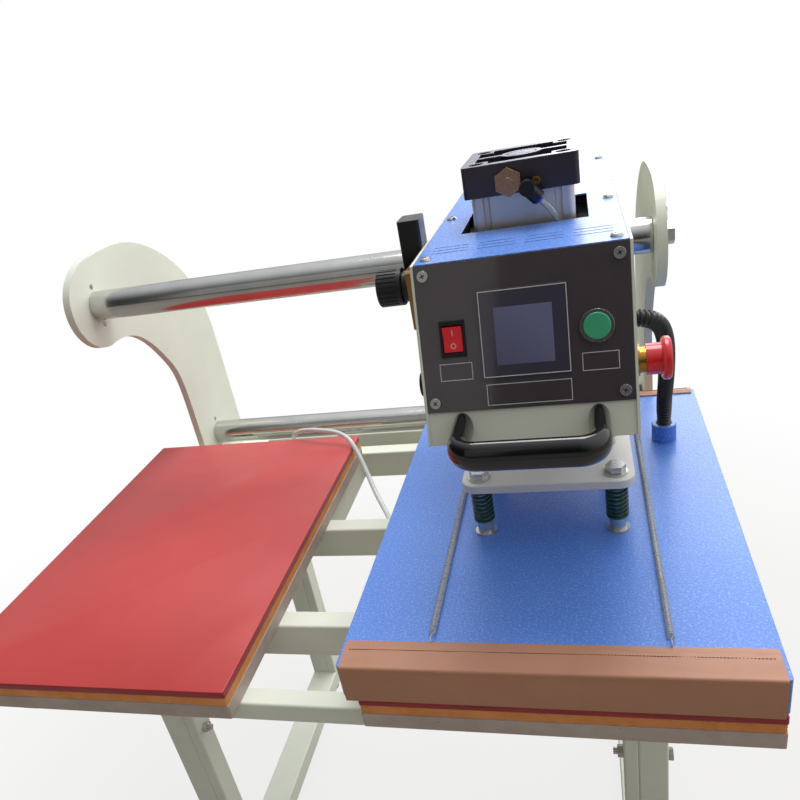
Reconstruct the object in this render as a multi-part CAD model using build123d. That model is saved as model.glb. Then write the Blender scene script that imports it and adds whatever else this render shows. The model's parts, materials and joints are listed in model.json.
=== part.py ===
from build123d import *
import math
import os

# Dual station heat press, in millimetres. The origin is on the floor under the middle
# of the machine, +X to its right, +Y to its back, +Z up. The head is at its right stop,
# with the heated platen down on the right table.

# Overall sizes
TABLE_TOP = 820.0
SHAFT_SPAN = 819.0
PAD_WIDTH = 400.0
PAD_DEPTH = 600.0
STATION_GAP = 154.0
HEAD_TRAVEL = 540.0

# Clearances
GLIDE = 0.3
BUSH_PLAY = 0.05
SCREW_PLAY = 0.2

# Places along Y, worked out from the pads' depth so that the origin stays central
REAR_OVERHANG = 214.0
SHEET_BULGE = 6.0
PAD_CENTRE = (SHEET_BULGE - REAR_OVERHANG) / 2
PAD_FRONT = PAD_CENTRE - PAD_DEPTH / 2
PAD_BACK = PAD_CENTRE + PAD_DEPTH / 2
REAR_LIMIT = PAD_BACK + REAR_OVERHANG
PAD_X = (STATION_GAP + PAD_WIDTH) / 2
HEAD_X = HEAD_TRAVEL / 2

# Table layers, from the top down
SILICONE = 9.0
SPONGE = 12.0
TABLE_PLATE = 18.5
TABLE_UNDER = TABLE_TOP - SILICONE - SPONGE - TABLE_PLATE

# Steel tubes of the frame
TUBE_WALL = 2.0
RAIL_WIDTH = 30.0
RAIL_HEIGHT = 50.0
FRONT_RAIL = (25.0, 26.5)
SIDE_TUBE_WIDTH = 60.0
RAIL_UNDER = TABLE_UNDER - RAIL_HEIGHT
BEAM_UNDER = RAIL_UNDER - RAIL_HEIGHT
HALF_SPAN = SHAFT_SPAN / 2
SIDE_TUBE_X = (HALF_SPAN - SIDE_TUBE_WIDTH, HALF_SPAN)
FRONT_RAIL_Y = PAD_FRONT + 22.0
CROSS_RAILS_Y = (PAD_FRONT + 149.5, PAD_FRONT + 362.5, PAD_BACK + 4.5)
BACK_RAIL_Y = REAR_LIMIT - RAIL_WIDTH

# Legs, floor beams and feet
LEG_DEPTH = 40.0
LEG_OUTER = 40.0
LEG_INNER = 20.0
LEG_INSET = 7.5
FRONT_LEG_Y = PAD_FRONT + 236.0
REAR_LEG_Y = REAR_LIMIT - LEG_DEPTH
FOOT_HEIGHT = 16.0
FOOT_RADIUS = 24.0
BEAM_WIDTH = 60.0
BEAM_HEIGHT = 40.0
BEAM_TOP = FOOT_HEIGHT + BEAM_HEIGHT
BEAM_OVERHANG = 76.0
LEG_BOLT_DROP = 366.0

# Side plates and the two guide shafts
SIDE_PLATE = 12.0
LOBE_RADIUS = 65.0
SHAFT_RADIUS = 22.5
UPPER_SHAFT_Y = PAD_BACK - 125.7
UPPER_SHAFT_Z = TABLE_TOP + 320.0
LOWER_SHAFT_Y = PAD_BACK + 102.5
LOWER_SHAFT_Z = TABLE_TOP - 22.6
END_BOLT_RADIUS = 8.0
LUG_BOLT_RADIUS = 4.0
LUG_BOLT_OFFSET = 30.0

# Head carriage
HEAD_WIDTH = 190.0
WALL = 2.5
COVER = 1.5
CARRIAGE_PLATE = 12.0
HEAD_BOTTOM = TABLE_TOP + 240.0
HEAD_TOP = TABLE_TOP + 401.5
HEAD_FRONT = PAD_CENTRE - 209.0
HEAD_BACK = PAD_CENTRE + 350.0
PANEL_LEAN = 14.4
PANEL_BOTTOM = TABLE_TOP + 271.0
PANEL_THICK = 2.0
INNER_HALF = HEAD_WIDTH / 2 - WALL
HOUSING_HALF = 80.0
HOUSING_SIZE = 92.0
BUSH_WALL = 7.5
BUSH_OUTER = SHAFT_RADIUS + BUSH_WALL
BUSH_LENGTH = 60.0
GUIDE_TUBE_OUTER = BUSH_OUTER + 5.0
GUIDE_TUBE_BORE = SHAFT_RADIUS + 2.5
BUFFER = 8.0
BUFFER_OUTER = SHAFT_RADIUS + 9.5
GUIDE_HALF = HALF_SPAN - HEAD_X - BUFFER - GLIDE
ARM_PLATE = 12.0
ARM_X = 50.0

# Air cylinder
CYLINDER_Y = PAD_CENTRE + 2.0
CAP_SIZE = 112.0
CAP_HEIGHT = 30.0
BARREL_SIZE = 100.0
BARREL_HEIGHT = 150.0
BORE_RADIUS = 40.0
PISTON_HEIGHT = 25.0
ROD_RADIUS = 12.5
BARREL_BASE = HEAD_BOTTOM + CARRIAGE_PLATE + CAP_HEIGHT
BARREL_TOP = BARREL_BASE + BARREL_HEIGHT
OPENING = (124.0, 124.0)

# Press head
PRESS_PLATE = (194.0, 176.0, 10.0)
PRESS_PLATE_Z = TABLE_TOP + 110.0
SPRING_BOLT_X = 77.0
SPRING_BOLT_Y = 68.0
SPRING_BOLT_RADIUS = 6.0
SPRING_RADIUS = 13.0
SPRING_WIRE = 2.2
SPRING_TURNS = 7
SLEEVE_HEIGHT = 15.0
SLEEVE_RADIUS = 9.5
WASHER = 2.0
GUIDE_ROD_X = 72.0
GUIDE_ROD_RADIUS = 8.0
GUIDE_BUSH_RADIUS = 13.0
GUIDE_ROD_LENGTH = 170.0

# Heated platen
COVER_WIDTH = 414.0
COVER_BOTTOM = TABLE_TOP + 5.0
COVER_TOP = TABLE_TOP + 45.0
COVER_SHEET = 1.5
HEATER_BOTTOM = TABLE_TOP + 1.0
HEATER_THICK = 25.0
PTFE = 0.6
PTFE_WIDTH = 406.0
PTFE_LAP = 30.0
STRETCH_SPRING_X = 114.0
STRETCH_SPRING_RADIUS = 3.8
STRETCH_SPRING_WIRE = 0.8
STRETCH_SPRING_TURNS = 34
STRETCH_SPRING_HOOK = 30.0

# Controls on the panel: places across and up the panel, from the middle of its bottom edge
SCREEN = (1.2, 67.8, 78.5)
SCREEN_BACK = 70.0
SWITCH = (-62.2, 67.2, 23.0, 33.0)
ROCKER = (17.4, 24.0)
BUTTON = (62.9, 67.1)
BUTTON_RADIUS = 11.5
BUTTON_RING = BUTTON_RADIUS + 2.8
PANEL_SCREWS = ((-84.0, 125.0), (84.0, 125.0), (84.0, 9.5), (-84.0, 9.5))
ESTOP = (PAD_CENTRE - 146.0, TABLE_TOP + 285.0)
REGULATOR = (PAD_CENTRE - 120.0, TABLE_TOP + 372.0)
BUZZER = (PAD_CENTRE - 150.0, TABLE_TOP + 280.0)

# Corrugated conduit from the head's right wall to the gland on the platen
CONDUIT_ROOT = 8.4
CONDUIT_CREST = 10.0
CONDUIT_BORE = 7.0
CONDUIT_RIBS = 58
CONDUIT_ROUTE = (
    (357, -102, 1094), (383, -102, 1094), (402, -88, 1081), (411, -64, 1053), (416, -28, 1011),
    (419, 10, 967), (419, 41, 918), (419, 41, 876),
)
GLAND_RADIUS = 16.0
GLAND_HEIGHT = 24.0
GLAND_FLOOR = 4.0

# Air hose from the inlet on the frame, over the left pad's rear corner, to the head's port
HOSE_RADIUS = 4.0
HOSE_ROUTE = (
    (6, 2, 741), (6, 22, 741), (-1, 43, 746), (-16, 66, 754), (-32, 90, 768), (-48, 117, 788),
    (-65, 141, 813), (-83, 160, 834), (-106, 171, 842), (-133, 177, 844), (-161, 185, 843),
    (-185, 197, 837), (-206, 211, 824), (-219, 226, 804), (-221, 237, 781), (-209, 241, 758),
    (-187, 242, 746), (-162, 240, 743), (-110, 240, 743), (-56, 242, 747), (-2, 245, 754),
    (50, 247, 766), (104, 248, 790), (148, 245, 832), (176, 240, 890), (190, 232, 955),
    (195, 225, 1003), (195, 225, 1042),
)
HOSE_CLIP_RUN = 17
HOSE_CLIPS_X = (-150.0, -129.0)
CLIP_WIDTH = 10.0
PORT_RADIUS = 7.0

# Clear hose from the cylinder's elbow down through the cover
CLEAR_RADIUS = 3.0
CLEAR_ROUTE = (
    (287, -172, 1247), (294.5, -170.5, 1238.5), (301, -164, 1228), (302.5, -156.5, 1215.5),
    (300, -156, 1198), (295, -156, 1178), (292, -156, 1164), (292, -156, 1150),
)

TO_FRONT = (0, -1, 0)
TO_BACK = (0, 1, 0)
TO_RIGHT = (1, 0, 0)
TO_LEFT = (-1, 0, 0)
UPWARD = (0, 0, 1)
DOWNWARD = (0, 0, -1)
FROM_BASE = (Align.CENTER, Align.CENTER, Align.MIN)


def block(x, y, z):
    """A box between three pairs of limits."""
    low, high = zip(x, y, z)
    size = [b - a for a, b in zip(low, high)]
    return Pos(*low) * Box(*size, align=Align.MIN)


def rod(base, direction, radius, length):
    """A round bar that starts at a point and runs along a direction."""
    return Plane(base, z_dir=direction) * Cylinder(radius, length, align=FROM_BASE)


def pipe(base, direction, outer, inner, length):
    """A round bar with a bore all the way through."""
    return rod(base, direction, outer, length) - rod(base, direction, inner, length)


def hexagon(base, direction, across, length):
    """A six-sided prism, measured across its flats."""
    outline = RegularPolygon(across / 2, 6, major_radius=False)
    return extrude(Plane(base, z_dir=direction) * outline, length)


def box_tube(x, y, z, along, wall=TUBE_WALL):
    """A steel box tube with rounded edges, hollow along one axis (0, 1 or 2)."""
    limits = (x, y, z)
    start = [a if i == along else (a + b) / 2 for i, (a, b) in enumerate(limits)]
    spans = [b - a for a, b in limits]
    direction = (TO_RIGHT, TO_BACK, UPWARD)[along]
    across = TO_BACK if along == 0 else TO_RIGHT
    width = spans[1] if along == 0 else spans[0]
    height = spans[1] if along == 2 else spans[2]
    outer = RectangleRounded(width, height, 1.5 * wall)
    inner = RectangleRounded(width - 2 * wall, height - 2 * wall, wall / 2)
    return extrude(Plane(start, x_dir=across, z_dir=direction) * (outer - inner), spans[along])


def group(shapes):
    """Separate solids kept side by side in one node."""
    return Compound(children=[solid for shape in shapes for solid in shape.solids()])


def along_x(outline, start, length):
    """An outline given in Y and Z, pushed along X."""
    return extrude(Plane((start, 0, 0), x_dir=TO_BACK, z_dir=TO_RIGHT) * outline, length)


def mirrored(x_limits):
    """The same pair of limits on the left and on the right."""
    low, high = x_limits
    return ((-high, -low), (low, high))


# The panel's plane, with its normal towards the front
PANEL_UP = (0, math.sin(math.radians(PANEL_LEAN)), math.cos(math.radians(PANEL_LEAN)))
PANEL_OUT = (0, -PANEL_UP[2], PANEL_UP[1])
PANEL_HEIGHT = (HEAD_TOP - PANEL_BOTTOM) / PANEL_UP[2]
PANEL_FOOT = HEAD_FRONT + (PANEL_BOTTOM - HEAD_BOTTOM) * math.tan(math.radians(PANEL_LEAN))
PANEL = Plane((HEAD_X, PANEL_FOOT, PANEL_BOTTOM), x_dir=TO_RIGHT, z_dir=PANEL_OUT)


def panel_slab(width, height, low, high, x=0.0, up=0.0):
    """A slab between two depths in front of the panel's face."""
    body = Box(width, height, high - low, align=FROM_BASE)
    return PANEL * Pos(x, up, low) * body


def panel_rod(x, up, low, high, radius):
    """A round bar square to the panel, between two depths."""
    return PANEL * Pos(x, up, low) * Cylinder(radius, high - low, align=FROM_BASE)


def head_profile(inset=0.0):
    """The head's side outline in Y and Z, with its leaning front edge."""
    lean = math.tan(math.radians(PANEL_LEAN))
    top_front = HEAD_FRONT + (HEAD_TOP - HEAD_BOTTOM) * lean
    points = (
        (HEAD_FRONT + inset, HEAD_BOTTOM), (top_front + inset, HEAD_TOP),
        (HEAD_BACK, HEAD_TOP), (HEAD_BACK, HEAD_BOTTOM),
    )
    return make_face(Polyline(*points, close=True))


# Frame

def front_rail():
    width, height = FRONT_RAIL
    return box_tube(
        (-SIDE_TUBE_X[0], SIDE_TUBE_X[0]), (FRONT_RAIL_Y, FRONT_RAIL_Y + width),
        (TABLE_UNDER - height, TABLE_UNDER), 0,
    )


def cross_rails():
    return group([
        box_tube((-SIDE_TUBE_X[0], SIDE_TUBE_X[0]), (y, y + RAIL_WIDTH), (RAIL_UNDER, TABLE_UNDER), 0)
        for y in CROSS_RAILS_Y
    ])


def table_tubes():
    """Tubes from front to back that tie the cross rails together under each table."""
    first, second, last = CROSS_RAILS_Y
    tubes = []
    for x in mirrored(SIDE_TUBE_X):
        tubes.append(box_tube(x, (first, last + RAIL_WIDTH), (RAIL_UNDER, TABLE_UNDER), 1))
        edge = FRONT_RAIL[0]
        middle = (x[0] + x[1]) / 2
        sides = (middle - edge / 2, middle + edge / 2)
        tubes.append(box_tube(sides, (FRONT_RAIL_Y, first), (TABLE_UNDER - FRONT_RAIL[1], TABLE_UNDER), 1))
    inner = STATION_GAP / 2 + 6.0
    for x in mirrored((inner, inner + RAIL_WIDTH)):
        tubes.append(box_tube(x, (second + RAIL_WIDTH, last), (RAIL_UNDER, TABLE_UNDER), 1))
    return group(tubes)


def side_beams():
    """The two beams on top of the legs that carry the table frame and the side plates."""
    return group([
        box_tube(x, (FRONT_LEG_Y, REAR_LIMIT), (BEAM_UNDER, RAIL_UNDER), 1) for x in mirrored(SIDE_TUBE_X)
    ])


def back_rail():
    return box_tube(
        (-SIDE_TUBE_X[0], SIDE_TUBE_X[0]), (BACK_RAIL_Y, REAR_LIMIT), (BEAM_UNDER, RAIL_UNDER), 0,
    )


LEG_OUTSIDE = HALF_SPAN - LEG_INSET
LEG_SEAM = LEG_OUTSIDE - LEG_OUTER
LEG_INSIDE = LEG_SEAM - LEG_INNER
LEG_BOLT_Z = TABLE_TOP - LEG_BOLT_DROP
LEG_BOLT_RADIUS = 5.0


def leg_bolt_holes():
    return [
        rod((side * (LEG_INSIDE - 1), y + LEG_DEPTH / 2, LEG_BOLT_Z), (side, 0, 0),
            LEG_BOLT_RADIUS + SCREW_PLAY, LEG_OUTSIDE - LEG_INSIDE + 2)
        for side in (-1, 1) for y in (FRONT_LEG_Y, REAR_LEG_Y)
    ]


def legs(y):
    """A left and a right leg, each a square tube with a narrow one bolted inside it."""
    holes = leg_bolt_holes()
    tubes = []
    for x in mirrored((LEG_SEAM, LEG_OUTSIDE)) + mirrored((LEG_INSIDE, LEG_SEAM)):
        tubes.append(box_tube(x, (y, y + LEG_DEPTH), (BEAM_TOP, BEAM_UNDER), 2) - holes)
    return group(tubes)


BEAM_X = (LEG_INSIDE + LEG_OUTSIDE) / 2


def floor_beams():
    x = (BEAM_X - BEAM_WIDTH / 2, BEAM_X + BEAM_WIDTH / 2)
    y = (FRONT_LEG_Y - BEAM_OVERHANG, REAR_LIMIT)
    return group([box_tube(pair, y, (FOOT_HEIGHT, BEAM_TOP), 1) for pair in mirrored(x)])


def rubber_feet():
    places = (FRONT_LEG_Y - BEAM_OVERHANG + 1.5 * FOOT_RADIUS, REAR_LIMIT - 1.5 * FOOT_RADIUS)
    feet = []
    for x in (-BEAM_X, BEAM_X):
        for y in places:
            foot = rod((x, y, 0), UPWARD, FOOT_RADIUS, FOOT_HEIGHT)
            feet.append(chamfer(foot.edges().group_by(Axis.Z)[0], 2.0))
    return group(feet)


NECK_FRONT = UPPER_SHAFT_Y + 160.0
NECK_BACK = UPPER_SHAFT_Y + 326.0
PLATE_BOLT_RADIUS = 6.0
PLATE_BOLTS_Z = (RAIL_UNDER + BEAM_UNDER) / 2
PLATE_BOLTS_Y = (NECK_FRONT + 25.0, NECK_BACK - 25.0)


def side_plate_outline():
    """A round lobe for the upper shaft on a curved neck that widens to the lower shaft."""
    y, z = UPPER_SHAFT_Y, UPPER_SHAFT_Z

    def lobe(angle):
        turn = math.radians(angle)
        return (y + LOBE_RADIUS * math.cos(turn), z + LOBE_RADIUS * math.sin(turn))

    drop = z - BEAM_UNDER
    lobe_arc = ThreePointArc(lobe(130), lobe(195), lobe(275))
    under = Spline(
        lobe(275), (y + 80, z - 82), (y + 137, z - 145), (NECK_FRONT + 2, z - 256),
        tangents=((1, 0.1), (0, -1)),
    )
    over = Spline(
        (NECK_BACK, z - 170), (y + 275, z - 20), (y + 199, z + 41), (y + 111, z + 72), (y + 27, z + 73),
        lobe(130), tangents=((0, 1), (-0.77, -0.64)),
    )
    bottom = Polyline(
        (NECK_FRONT + 2, z - 256), (NECK_FRONT, z - drop), (NECK_BACK, z - drop), (NECK_BACK, z - 170),
    )
    return make_face([lobe_arc, under, bottom, over])


def plate_bolts(side):
    """Places of the bolts through a side plate: shaft ends, shaft lugs and frame bolts."""
    x = side * HALF_SPAN
    centres = ((UPPER_SHAFT_Y, UPPER_SHAFT_Z), (LOWER_SHAFT_Y, LOWER_SHAFT_Z))
    ends = [(x, y, z) for y, z in centres]
    lugs = [(x, y, z + step) for y, z in centres for step in (-LUG_BOLT_OFFSET, LUG_BOLT_OFFSET)]
    frame_bolts = [(x, y, PLATE_BOLTS_Z) for y in PLATE_BOLTS_Y]
    return ends, lugs, frame_bolts


def side_plate(side):
    x = HALF_SPAN if side > 0 else -HALF_SPAN - SIDE_PLATE
    plate = along_x(side_plate_outline(), x, SIDE_PLATE)
    ends, lugs, frame_bolts = plate_bolts(side)
    radii = (END_BOLT_RADIUS, LUG_BOLT_RADIUS, PLATE_BOLT_RADIUS)
    for points, radius in zip((ends, lugs, frame_bolts), radii):
        plate -= [rod(p, (side, 0, 0), radius + SCREW_PLAY, SIDE_PLATE) for p in points]
    return plate


END_BOLT_LENGTH = 45.0


def guide_shaft(y, z):
    shaft = rod((-HALF_SPAN, y, z), TO_RIGHT, SHAFT_RADIUS, SHAFT_SPAN)
    for side in (-1, 1):
        depth = END_BOLT_LENGTH - SIDE_PLATE + 2
        shaft -= rod((side * HALF_SPAN, y, z), (-side, 0, 0), END_BOLT_RADIUS + SCREW_PLAY, depth)
    return chamfer(shaft.edges().filter_by(GeomType.CIRCLE).group_by(SortBy.RADIUS)[-1], 1.0)


def hex_bolt(face, direction, radius, length, washer=0.0, washer_radius=0.0):
    """A hex bolt with its head outside a face and its shank going in, against direction."""
    base = Vector(face)
    outward = Vector(direction)
    shank = rod(base, outward * -1, radius, length)
    head = hexagon(base + outward * washer, direction, 3.2 * radius, 1.3 * radius)
    bolt = shank + head
    if washer:
        bolt += rod(base, direction, washer_radius, washer)
    return bolt


def frame_bolts():
    bolts = []
    for side in (-1, 1):
        ends, lugs, beams = plate_bolts(side)
        outward = (side, 0, 0)
        shift = Vector(side * SIDE_PLATE, 0, 0)
        for p in ends:
            bolts.append(hex_bolt(shift + p, outward, END_BOLT_RADIUS, END_BOLT_LENGTH, 3.0, 15.0))
        for p in lugs:
            bolts.append(hex_bolt(shift + p, outward, LUG_BOLT_RADIUS, SIDE_PLATE))
        for p in beams:
            bolts.append(hex_bolt(shift + p, outward, PLATE_BOLT_RADIUS, SIDE_PLATE, 2.0, 11.0))
        for y in (FRONT_LEG_Y, REAR_LEG_Y):
            face = (side * LEG_OUTSIDE, y + LEG_DEPTH / 2, LEG_BOLT_Z)
            through = LEG_OUTSIDE - LEG_INSIDE + 14.0
            bolt = hex_bolt(face, outward, LEG_BOLT_RADIUS, through, 1.5, 9.0)
            nut = hexagon((side * LEG_INSIDE, face[1], face[2]), (-side, 0, 0), 16.0, 8.0)
            bolts.append(bolt + nut)
    return group(bolts)


# Tables

def table_layer(low, high, radius=2.0):
    """The same layer on the left and on the right table."""
    slabs = []
    for x in (-PAD_X, PAD_X):
        outline = Pos(x, PAD_CENTRE) * RectangleRounded(PAD_WIDTH, PAD_DEPTH, radius)
        slabs.append(extrude(Pos(0, 0, low) * outline, high - low))
    return group(slabs)


# Guide shaft bearings and the carriage

def carriage_plate():
    y = (HEAD_FRONT + 22.0, HEAD_BACK - WALL)
    plate = block((HEAD_X - INNER_HALF, HEAD_X + INNER_HALF), y, (HEAD_BOTTOM, HEAD_BOTTOM + CARRIAGE_PLATE))
    holes = [rod((HEAD_X, CYLINDER_Y, HEAD_BOTTOM), UPWARD, ROD_RADIUS + 5.0, CARRIAGE_PLATE)]
    for side in (-1, 1):
        place = (HEAD_X + side * GUIDE_ROD_X, CYLINDER_Y, HEAD_BOTTOM)
        holes.append(rod(place, UPWARD, GUIDE_BUSH_RADIUS, CARRIAGE_PLATE))
    return plate - holes


def bearing_housing():
    """The block on the carriage plate that holds the upper shaft's two bushes."""
    floor = HEAD_BOTTOM + CARRIAGE_PLATE
    housing = block(
        (HEAD_X - HOUSING_HALF, HEAD_X + HOUSING_HALF),
        (UPPER_SHAFT_Y - HOUSING_SIZE / 2, UPPER_SHAFT_Y + HOUSING_SIZE / 2),
        (floor, UPPER_SHAFT_Z + HOUSING_SIZE / 2),
    )
    housing = fillet(housing.edges().filter_by(Axis.X).group_by(Axis.Z)[-1], 12.0)
    centre = (HEAD_X - HOUSING_HALF, UPPER_SHAFT_Y, UPPER_SHAFT_Z)
    housing -= rod(centre, TO_RIGHT, GUIDE_TUBE_BORE, 2 * HOUSING_HALF)
    for side in (-1, 1):
        mouth = (HEAD_X + side * HOUSING_HALF, UPPER_SHAFT_Y, UPPER_SHAFT_Z)
        housing -= rod(mouth, (-side, 0, 0), BUSH_OUTER, BUSH_LENGTH)
    return housing


def bushes():
    """Plain bushes for both guide shafts and for the two guide rods of the press head."""
    shells = []
    places = ((HOUSING_HALF, UPPER_SHAFT_Y, UPPER_SHAFT_Z), (GUIDE_HALF, LOWER_SHAFT_Y, LOWER_SHAFT_Z))
    for side in (-1, 1):
        for half, y, z in places:
            mouth = (HEAD_X + side * half, y, z)
            shells.append(pipe(mouth, (-side, 0, 0), BUSH_OUTER, SHAFT_RADIUS + BUSH_PLAY, BUSH_LENGTH))
        place = (HEAD_X + side * GUIDE_ROD_X, CYLINDER_Y, HEAD_BOTTOM)
        length = CARRIAGE_PLATE + 22.0
        shells.append(pipe(place, UPWARD, GUIDE_BUSH_RADIUS, GUIDE_ROD_RADIUS + BUSH_PLAY, length))
    return group(shells)


def guide_tube():
    """The tube round the lower shaft that keeps the head from tipping forward."""
    start = (HEAD_X - GUIDE_HALF, LOWER_SHAFT_Y, LOWER_SHAFT_Z)
    tube = pipe(start, TO_RIGHT, GUIDE_TUBE_OUTER, GUIDE_TUBE_BORE, 2 * GUIDE_HALF)
    for side in (-1, 1):
        mouth = (HEAD_X + side * GUIDE_HALF, LOWER_SHAFT_Y, LOWER_SHAFT_Z)
        tube -= rod(mouth, (-side, 0, 0), BUSH_OUTER, BUSH_LENGTH)
    return tube


def stop_buffers():
    """Rubber rings at the guide tube's ends that meet the side plates."""
    rings = []
    for side in (-1, 1):
        mouth = (HEAD_X + side * GUIDE_HALF, LOWER_SHAFT_Y, LOWER_SHAFT_Z)
        ring = pipe(mouth, (side, 0, 0), BUFFER_OUTER, SHAFT_RADIUS + 2.0, BUFFER)
        rings.append(ring)
    return group(rings)


def rear_arm():
    """Two plates and a brace from the carriage plate down to the lower guide tube."""
    y, z = LOWER_SHAFT_Y, LOWER_SHAFT_Z
    outline = make_face(Polyline(
        (HEAD_BACK - 100.0, HEAD_BOTTOM), (HEAD_BACK - WALL, HEAD_BOTTOM), (y + 46, z + 82),
        (y + 46, z - 36), (y - 44, z - 36), (y - 44, z + 74), (y - 72, z + 170), (HEAD_BACK - 100.0, z + 205),
        close=True,
    ))
    plates = [along_x(outline, HEAD_X + x - ARM_PLATE / 2, ARM_PLATE) for x in (-ARM_X, ARM_X)]
    inside = ARM_X - ARM_PLATE / 2
    brace = block(
        (HEAD_X - inside, HEAD_X + inside), (y - 40, y - 28), (z + 60, HEAD_BOTTOM - 40),
    )
    arm = plates[0] + plates[1] + brace
    tube = rod((HEAD_X - GUIDE_HALF, y, z), TO_RIGHT, GUIDE_TUBE_OUTER, 2 * GUIDE_HALF)
    return arm - tube


def head_shell():
    """Side walls, back wall and the leaning front strip, folded from one sheet."""
    outline = head_profile()
    shell = along_x(outline, HEAD_X - HEAD_WIDTH / 2, WALL) + along_x(outline, HEAD_X + INNER_HALF, WALL)
    inside = (HEAD_X - INNER_HALF, HEAD_X + INNER_HALF)
    shell += block(inside, (HEAD_BACK - WALL, HEAD_BACK), (HEAD_BOTTOM, HEAD_TOP))
    reach = (HEAD_TOP - COVER - PANEL_BOTTOM) / PANEL_UP[2]
    strip_drop = (PANEL_BOTTOM - HEAD_BOTTOM) / PANEL_UP[2]
    front = panel_slab(2 * INNER_HALF, reach + strip_drop, -PANEL_THICK - COVER, -PANEL_THICK,
                       up=(reach - strip_drop) / 2)
    front -= panel_slab(2 * INNER_HALF - 34, PANEL_HEIGHT - 34, -20, 0, up=PANEL_HEIGHT / 2)
    front -= panel_rod(*BUTTON, -PANEL_THICK - COVER, -PANEL_THICK, BUTTON_RING - 1.5)
    front &= along_x(outline, HEAD_X - INNER_HALF, 2 * INNER_HALF)
    shell += front
    for side in (-1, 1):
        edge = HEAD_X + side * INNER_HALF
        lip = (edge - 12, edge) if side > 0 else (edge, edge + 12)
        low = HEAD_TOP - 2 * COVER
        shell += block(lip, (HEAD_FRONT + 50, HEAD_BACK - WALL), (low, low + COVER))
        wall = edge - WALL if side < 0 else edge
        shell -= rod((wall - 1, UPPER_SHAFT_Y, UPPER_SHAFT_Z), TO_RIGHT, SHAFT_RADIUS + 4.0, WALL + 2)
    shell -= rod((HEAD_X + INNER_HALF - 1, ESTOP[0], ESTOP[1]), TO_RIGHT, 11.2, WALL + 2)
    hole = CONDUIT_CREST + GLIDE
    shell -= rod((HEAD_X + INNER_HALF - 1, *CONDUIT_ROUTE[0][1:]), TO_RIGHT, hole, WALL + 2)
    return shell


def head_cover():
    """The top sheet, with the cylinder's opening and rows of cooling slits near the front."""
    lean = math.tan(math.radians(PANEL_LEAN))
    front = HEAD_FRONT + (HEAD_TOP - HEAD_BOTTOM) * lean + PANEL_THICK + 1.0
    half = INNER_HALF - 0.3
    cover = block((HEAD_X - half, HEAD_X + half), (front, HEAD_BACK - WALL), (HEAD_TOP - COVER, HEAD_TOP))
    width, depth = OPENING
    cover -= block(
        (HEAD_X - width / 2, HEAD_X + width / 2), (CYLINDER_Y - depth / 2, CYLINDER_Y + depth / 2),
        (HEAD_TOP - COVER, HEAD_TOP),
    )
    for row in range(3):
        for column in range(4):
            x = HEAD_X + (column - 1.5) * 43.0
            y = front + 34.0 + row * 11.0
            slit = Pos(x, y, HEAD_TOP - COVER) * Box(34.0, 1.8, COVER, align=FROM_BASE)
            cover -= slit
    return cover


def control_panel():
    """The glossy front panel with its openings for the screen, switch and start button."""
    panel = panel_slab(2 * INNER_HALF - 0.6, PANEL_HEIGHT - 0.5, -PANEL_THICK, 0, up=PANEL_HEIGHT / 2)
    panel -= panel_slab(SCREEN_BACK + 1, SCREEN_BACK + 1, -PANEL_THICK, 0, *SCREEN[:2])
    panel -= panel_slab(SWITCH[2] - 3, SWITCH[3] - 3, -PANEL_THICK, 0, *SWITCH[:2])
    panel -= panel_rod(*BUTTON, -PANEL_THICK, 0, BUTTON_RING - 1.5)
    panel -= [panel_rod(x, up, -PANEL_THICK, 0, 2.0) for x, up in PANEL_SCREWS]
    return panel


HANDLE_WIDTH = 19.0
HANDLE_HEIGHT = 28.0
HANDLE_HALF = 61.0
HANDLE_REACH = 50.0
HANDLE_RISE = 15.0


def front_handle():
    """A U grip of oval section that stands out from the strip under the panel."""
    z = HEAD_BOTTOM + HANDLE_RISE
    grip = HEAD_FRONT - HANDLE_REACH
    root = HEAD_FRONT + 12.0
    left, right = HEAD_X - HANDLE_HALF, HEAD_X + HANDLE_HALF
    path = FilletPolyline((left, root, z), (left, grip, z), (right, grip, z), (right, root, z), radius=18.0)
    section = Ellipse(HANDLE_WIDTH / 2, HANDLE_HEIGHT / 2)
    bar = sweep(Plane((left, root, z), x_dir=TO_RIGHT, z_dir=TO_FRONT) * section, path)
    behind = panel_slab(HEAD_WIDTH, 2 * PANEL_HEIGHT, -40, -PANEL_THICK)
    return bar - behind


# Air cylinder

def cylinder_barrel():
    """The square alloy barrel, with half-round grooves between its corner ribs."""
    outline = RectangleRounded(BARREL_SIZE, BARREL_SIZE, 6.0)
    for angle in (0, 90, 180, 270):
        for offset in (-35.0, 35.0):
            outline -= Rot(0, 0, angle) * Pos(offset, BARREL_SIZE / 2) * Circle(3.5)
    outline -= Circle(BORE_RADIUS)
    for x in (-1, 1):
        for y in (-1, 1):
            outline -= Pos(x * 42.0, y * 42.0) * Circle(4.0 + SCREW_PLAY)
    return extrude(Pos(HEAD_X, CYLINDER_Y, BARREL_BASE) * outline, BARREL_HEIGHT)


def tie_places():
    return [(HEAD_X + x * 42.0, CYLINDER_Y + y * 42.0) for x in (-1, 1) for y in (-1, 1)]


PORT_Z = BARREL_TOP + 12.0


PLUG = (HEAD_X - 11.0, PORT_Z)
CAP_SCREW = (HEAD_X + 15.5, PORT_Z - 3.0)
ELBOW_MOUTH = Vector(CLEAR_ROUTE[0])
ELBOW_AIM = (Vector(CLEAR_ROUTE[1]) - ELBOW_MOUTH).normalized()
ELBOW_REACH = 15.0
ELBOW_KNEE = ELBOW_MOUTH - ELBOW_AIM * ELBOW_REACH
PLUG_RADIUS = 8.0
ELBOW_THREAD = 4.2
ELBOW_NECK = 4.0
ELBOW_BODY = 7.2
CAP_SCREW_RADIUS = 3.9
CAP_HOLE_DEPTH = 14.0
CAP_POCKET = 8.0
TIE_POCKET = 7.5
CAP_CORNER = 22.0
CAP_CENTRE = 20.5


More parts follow.
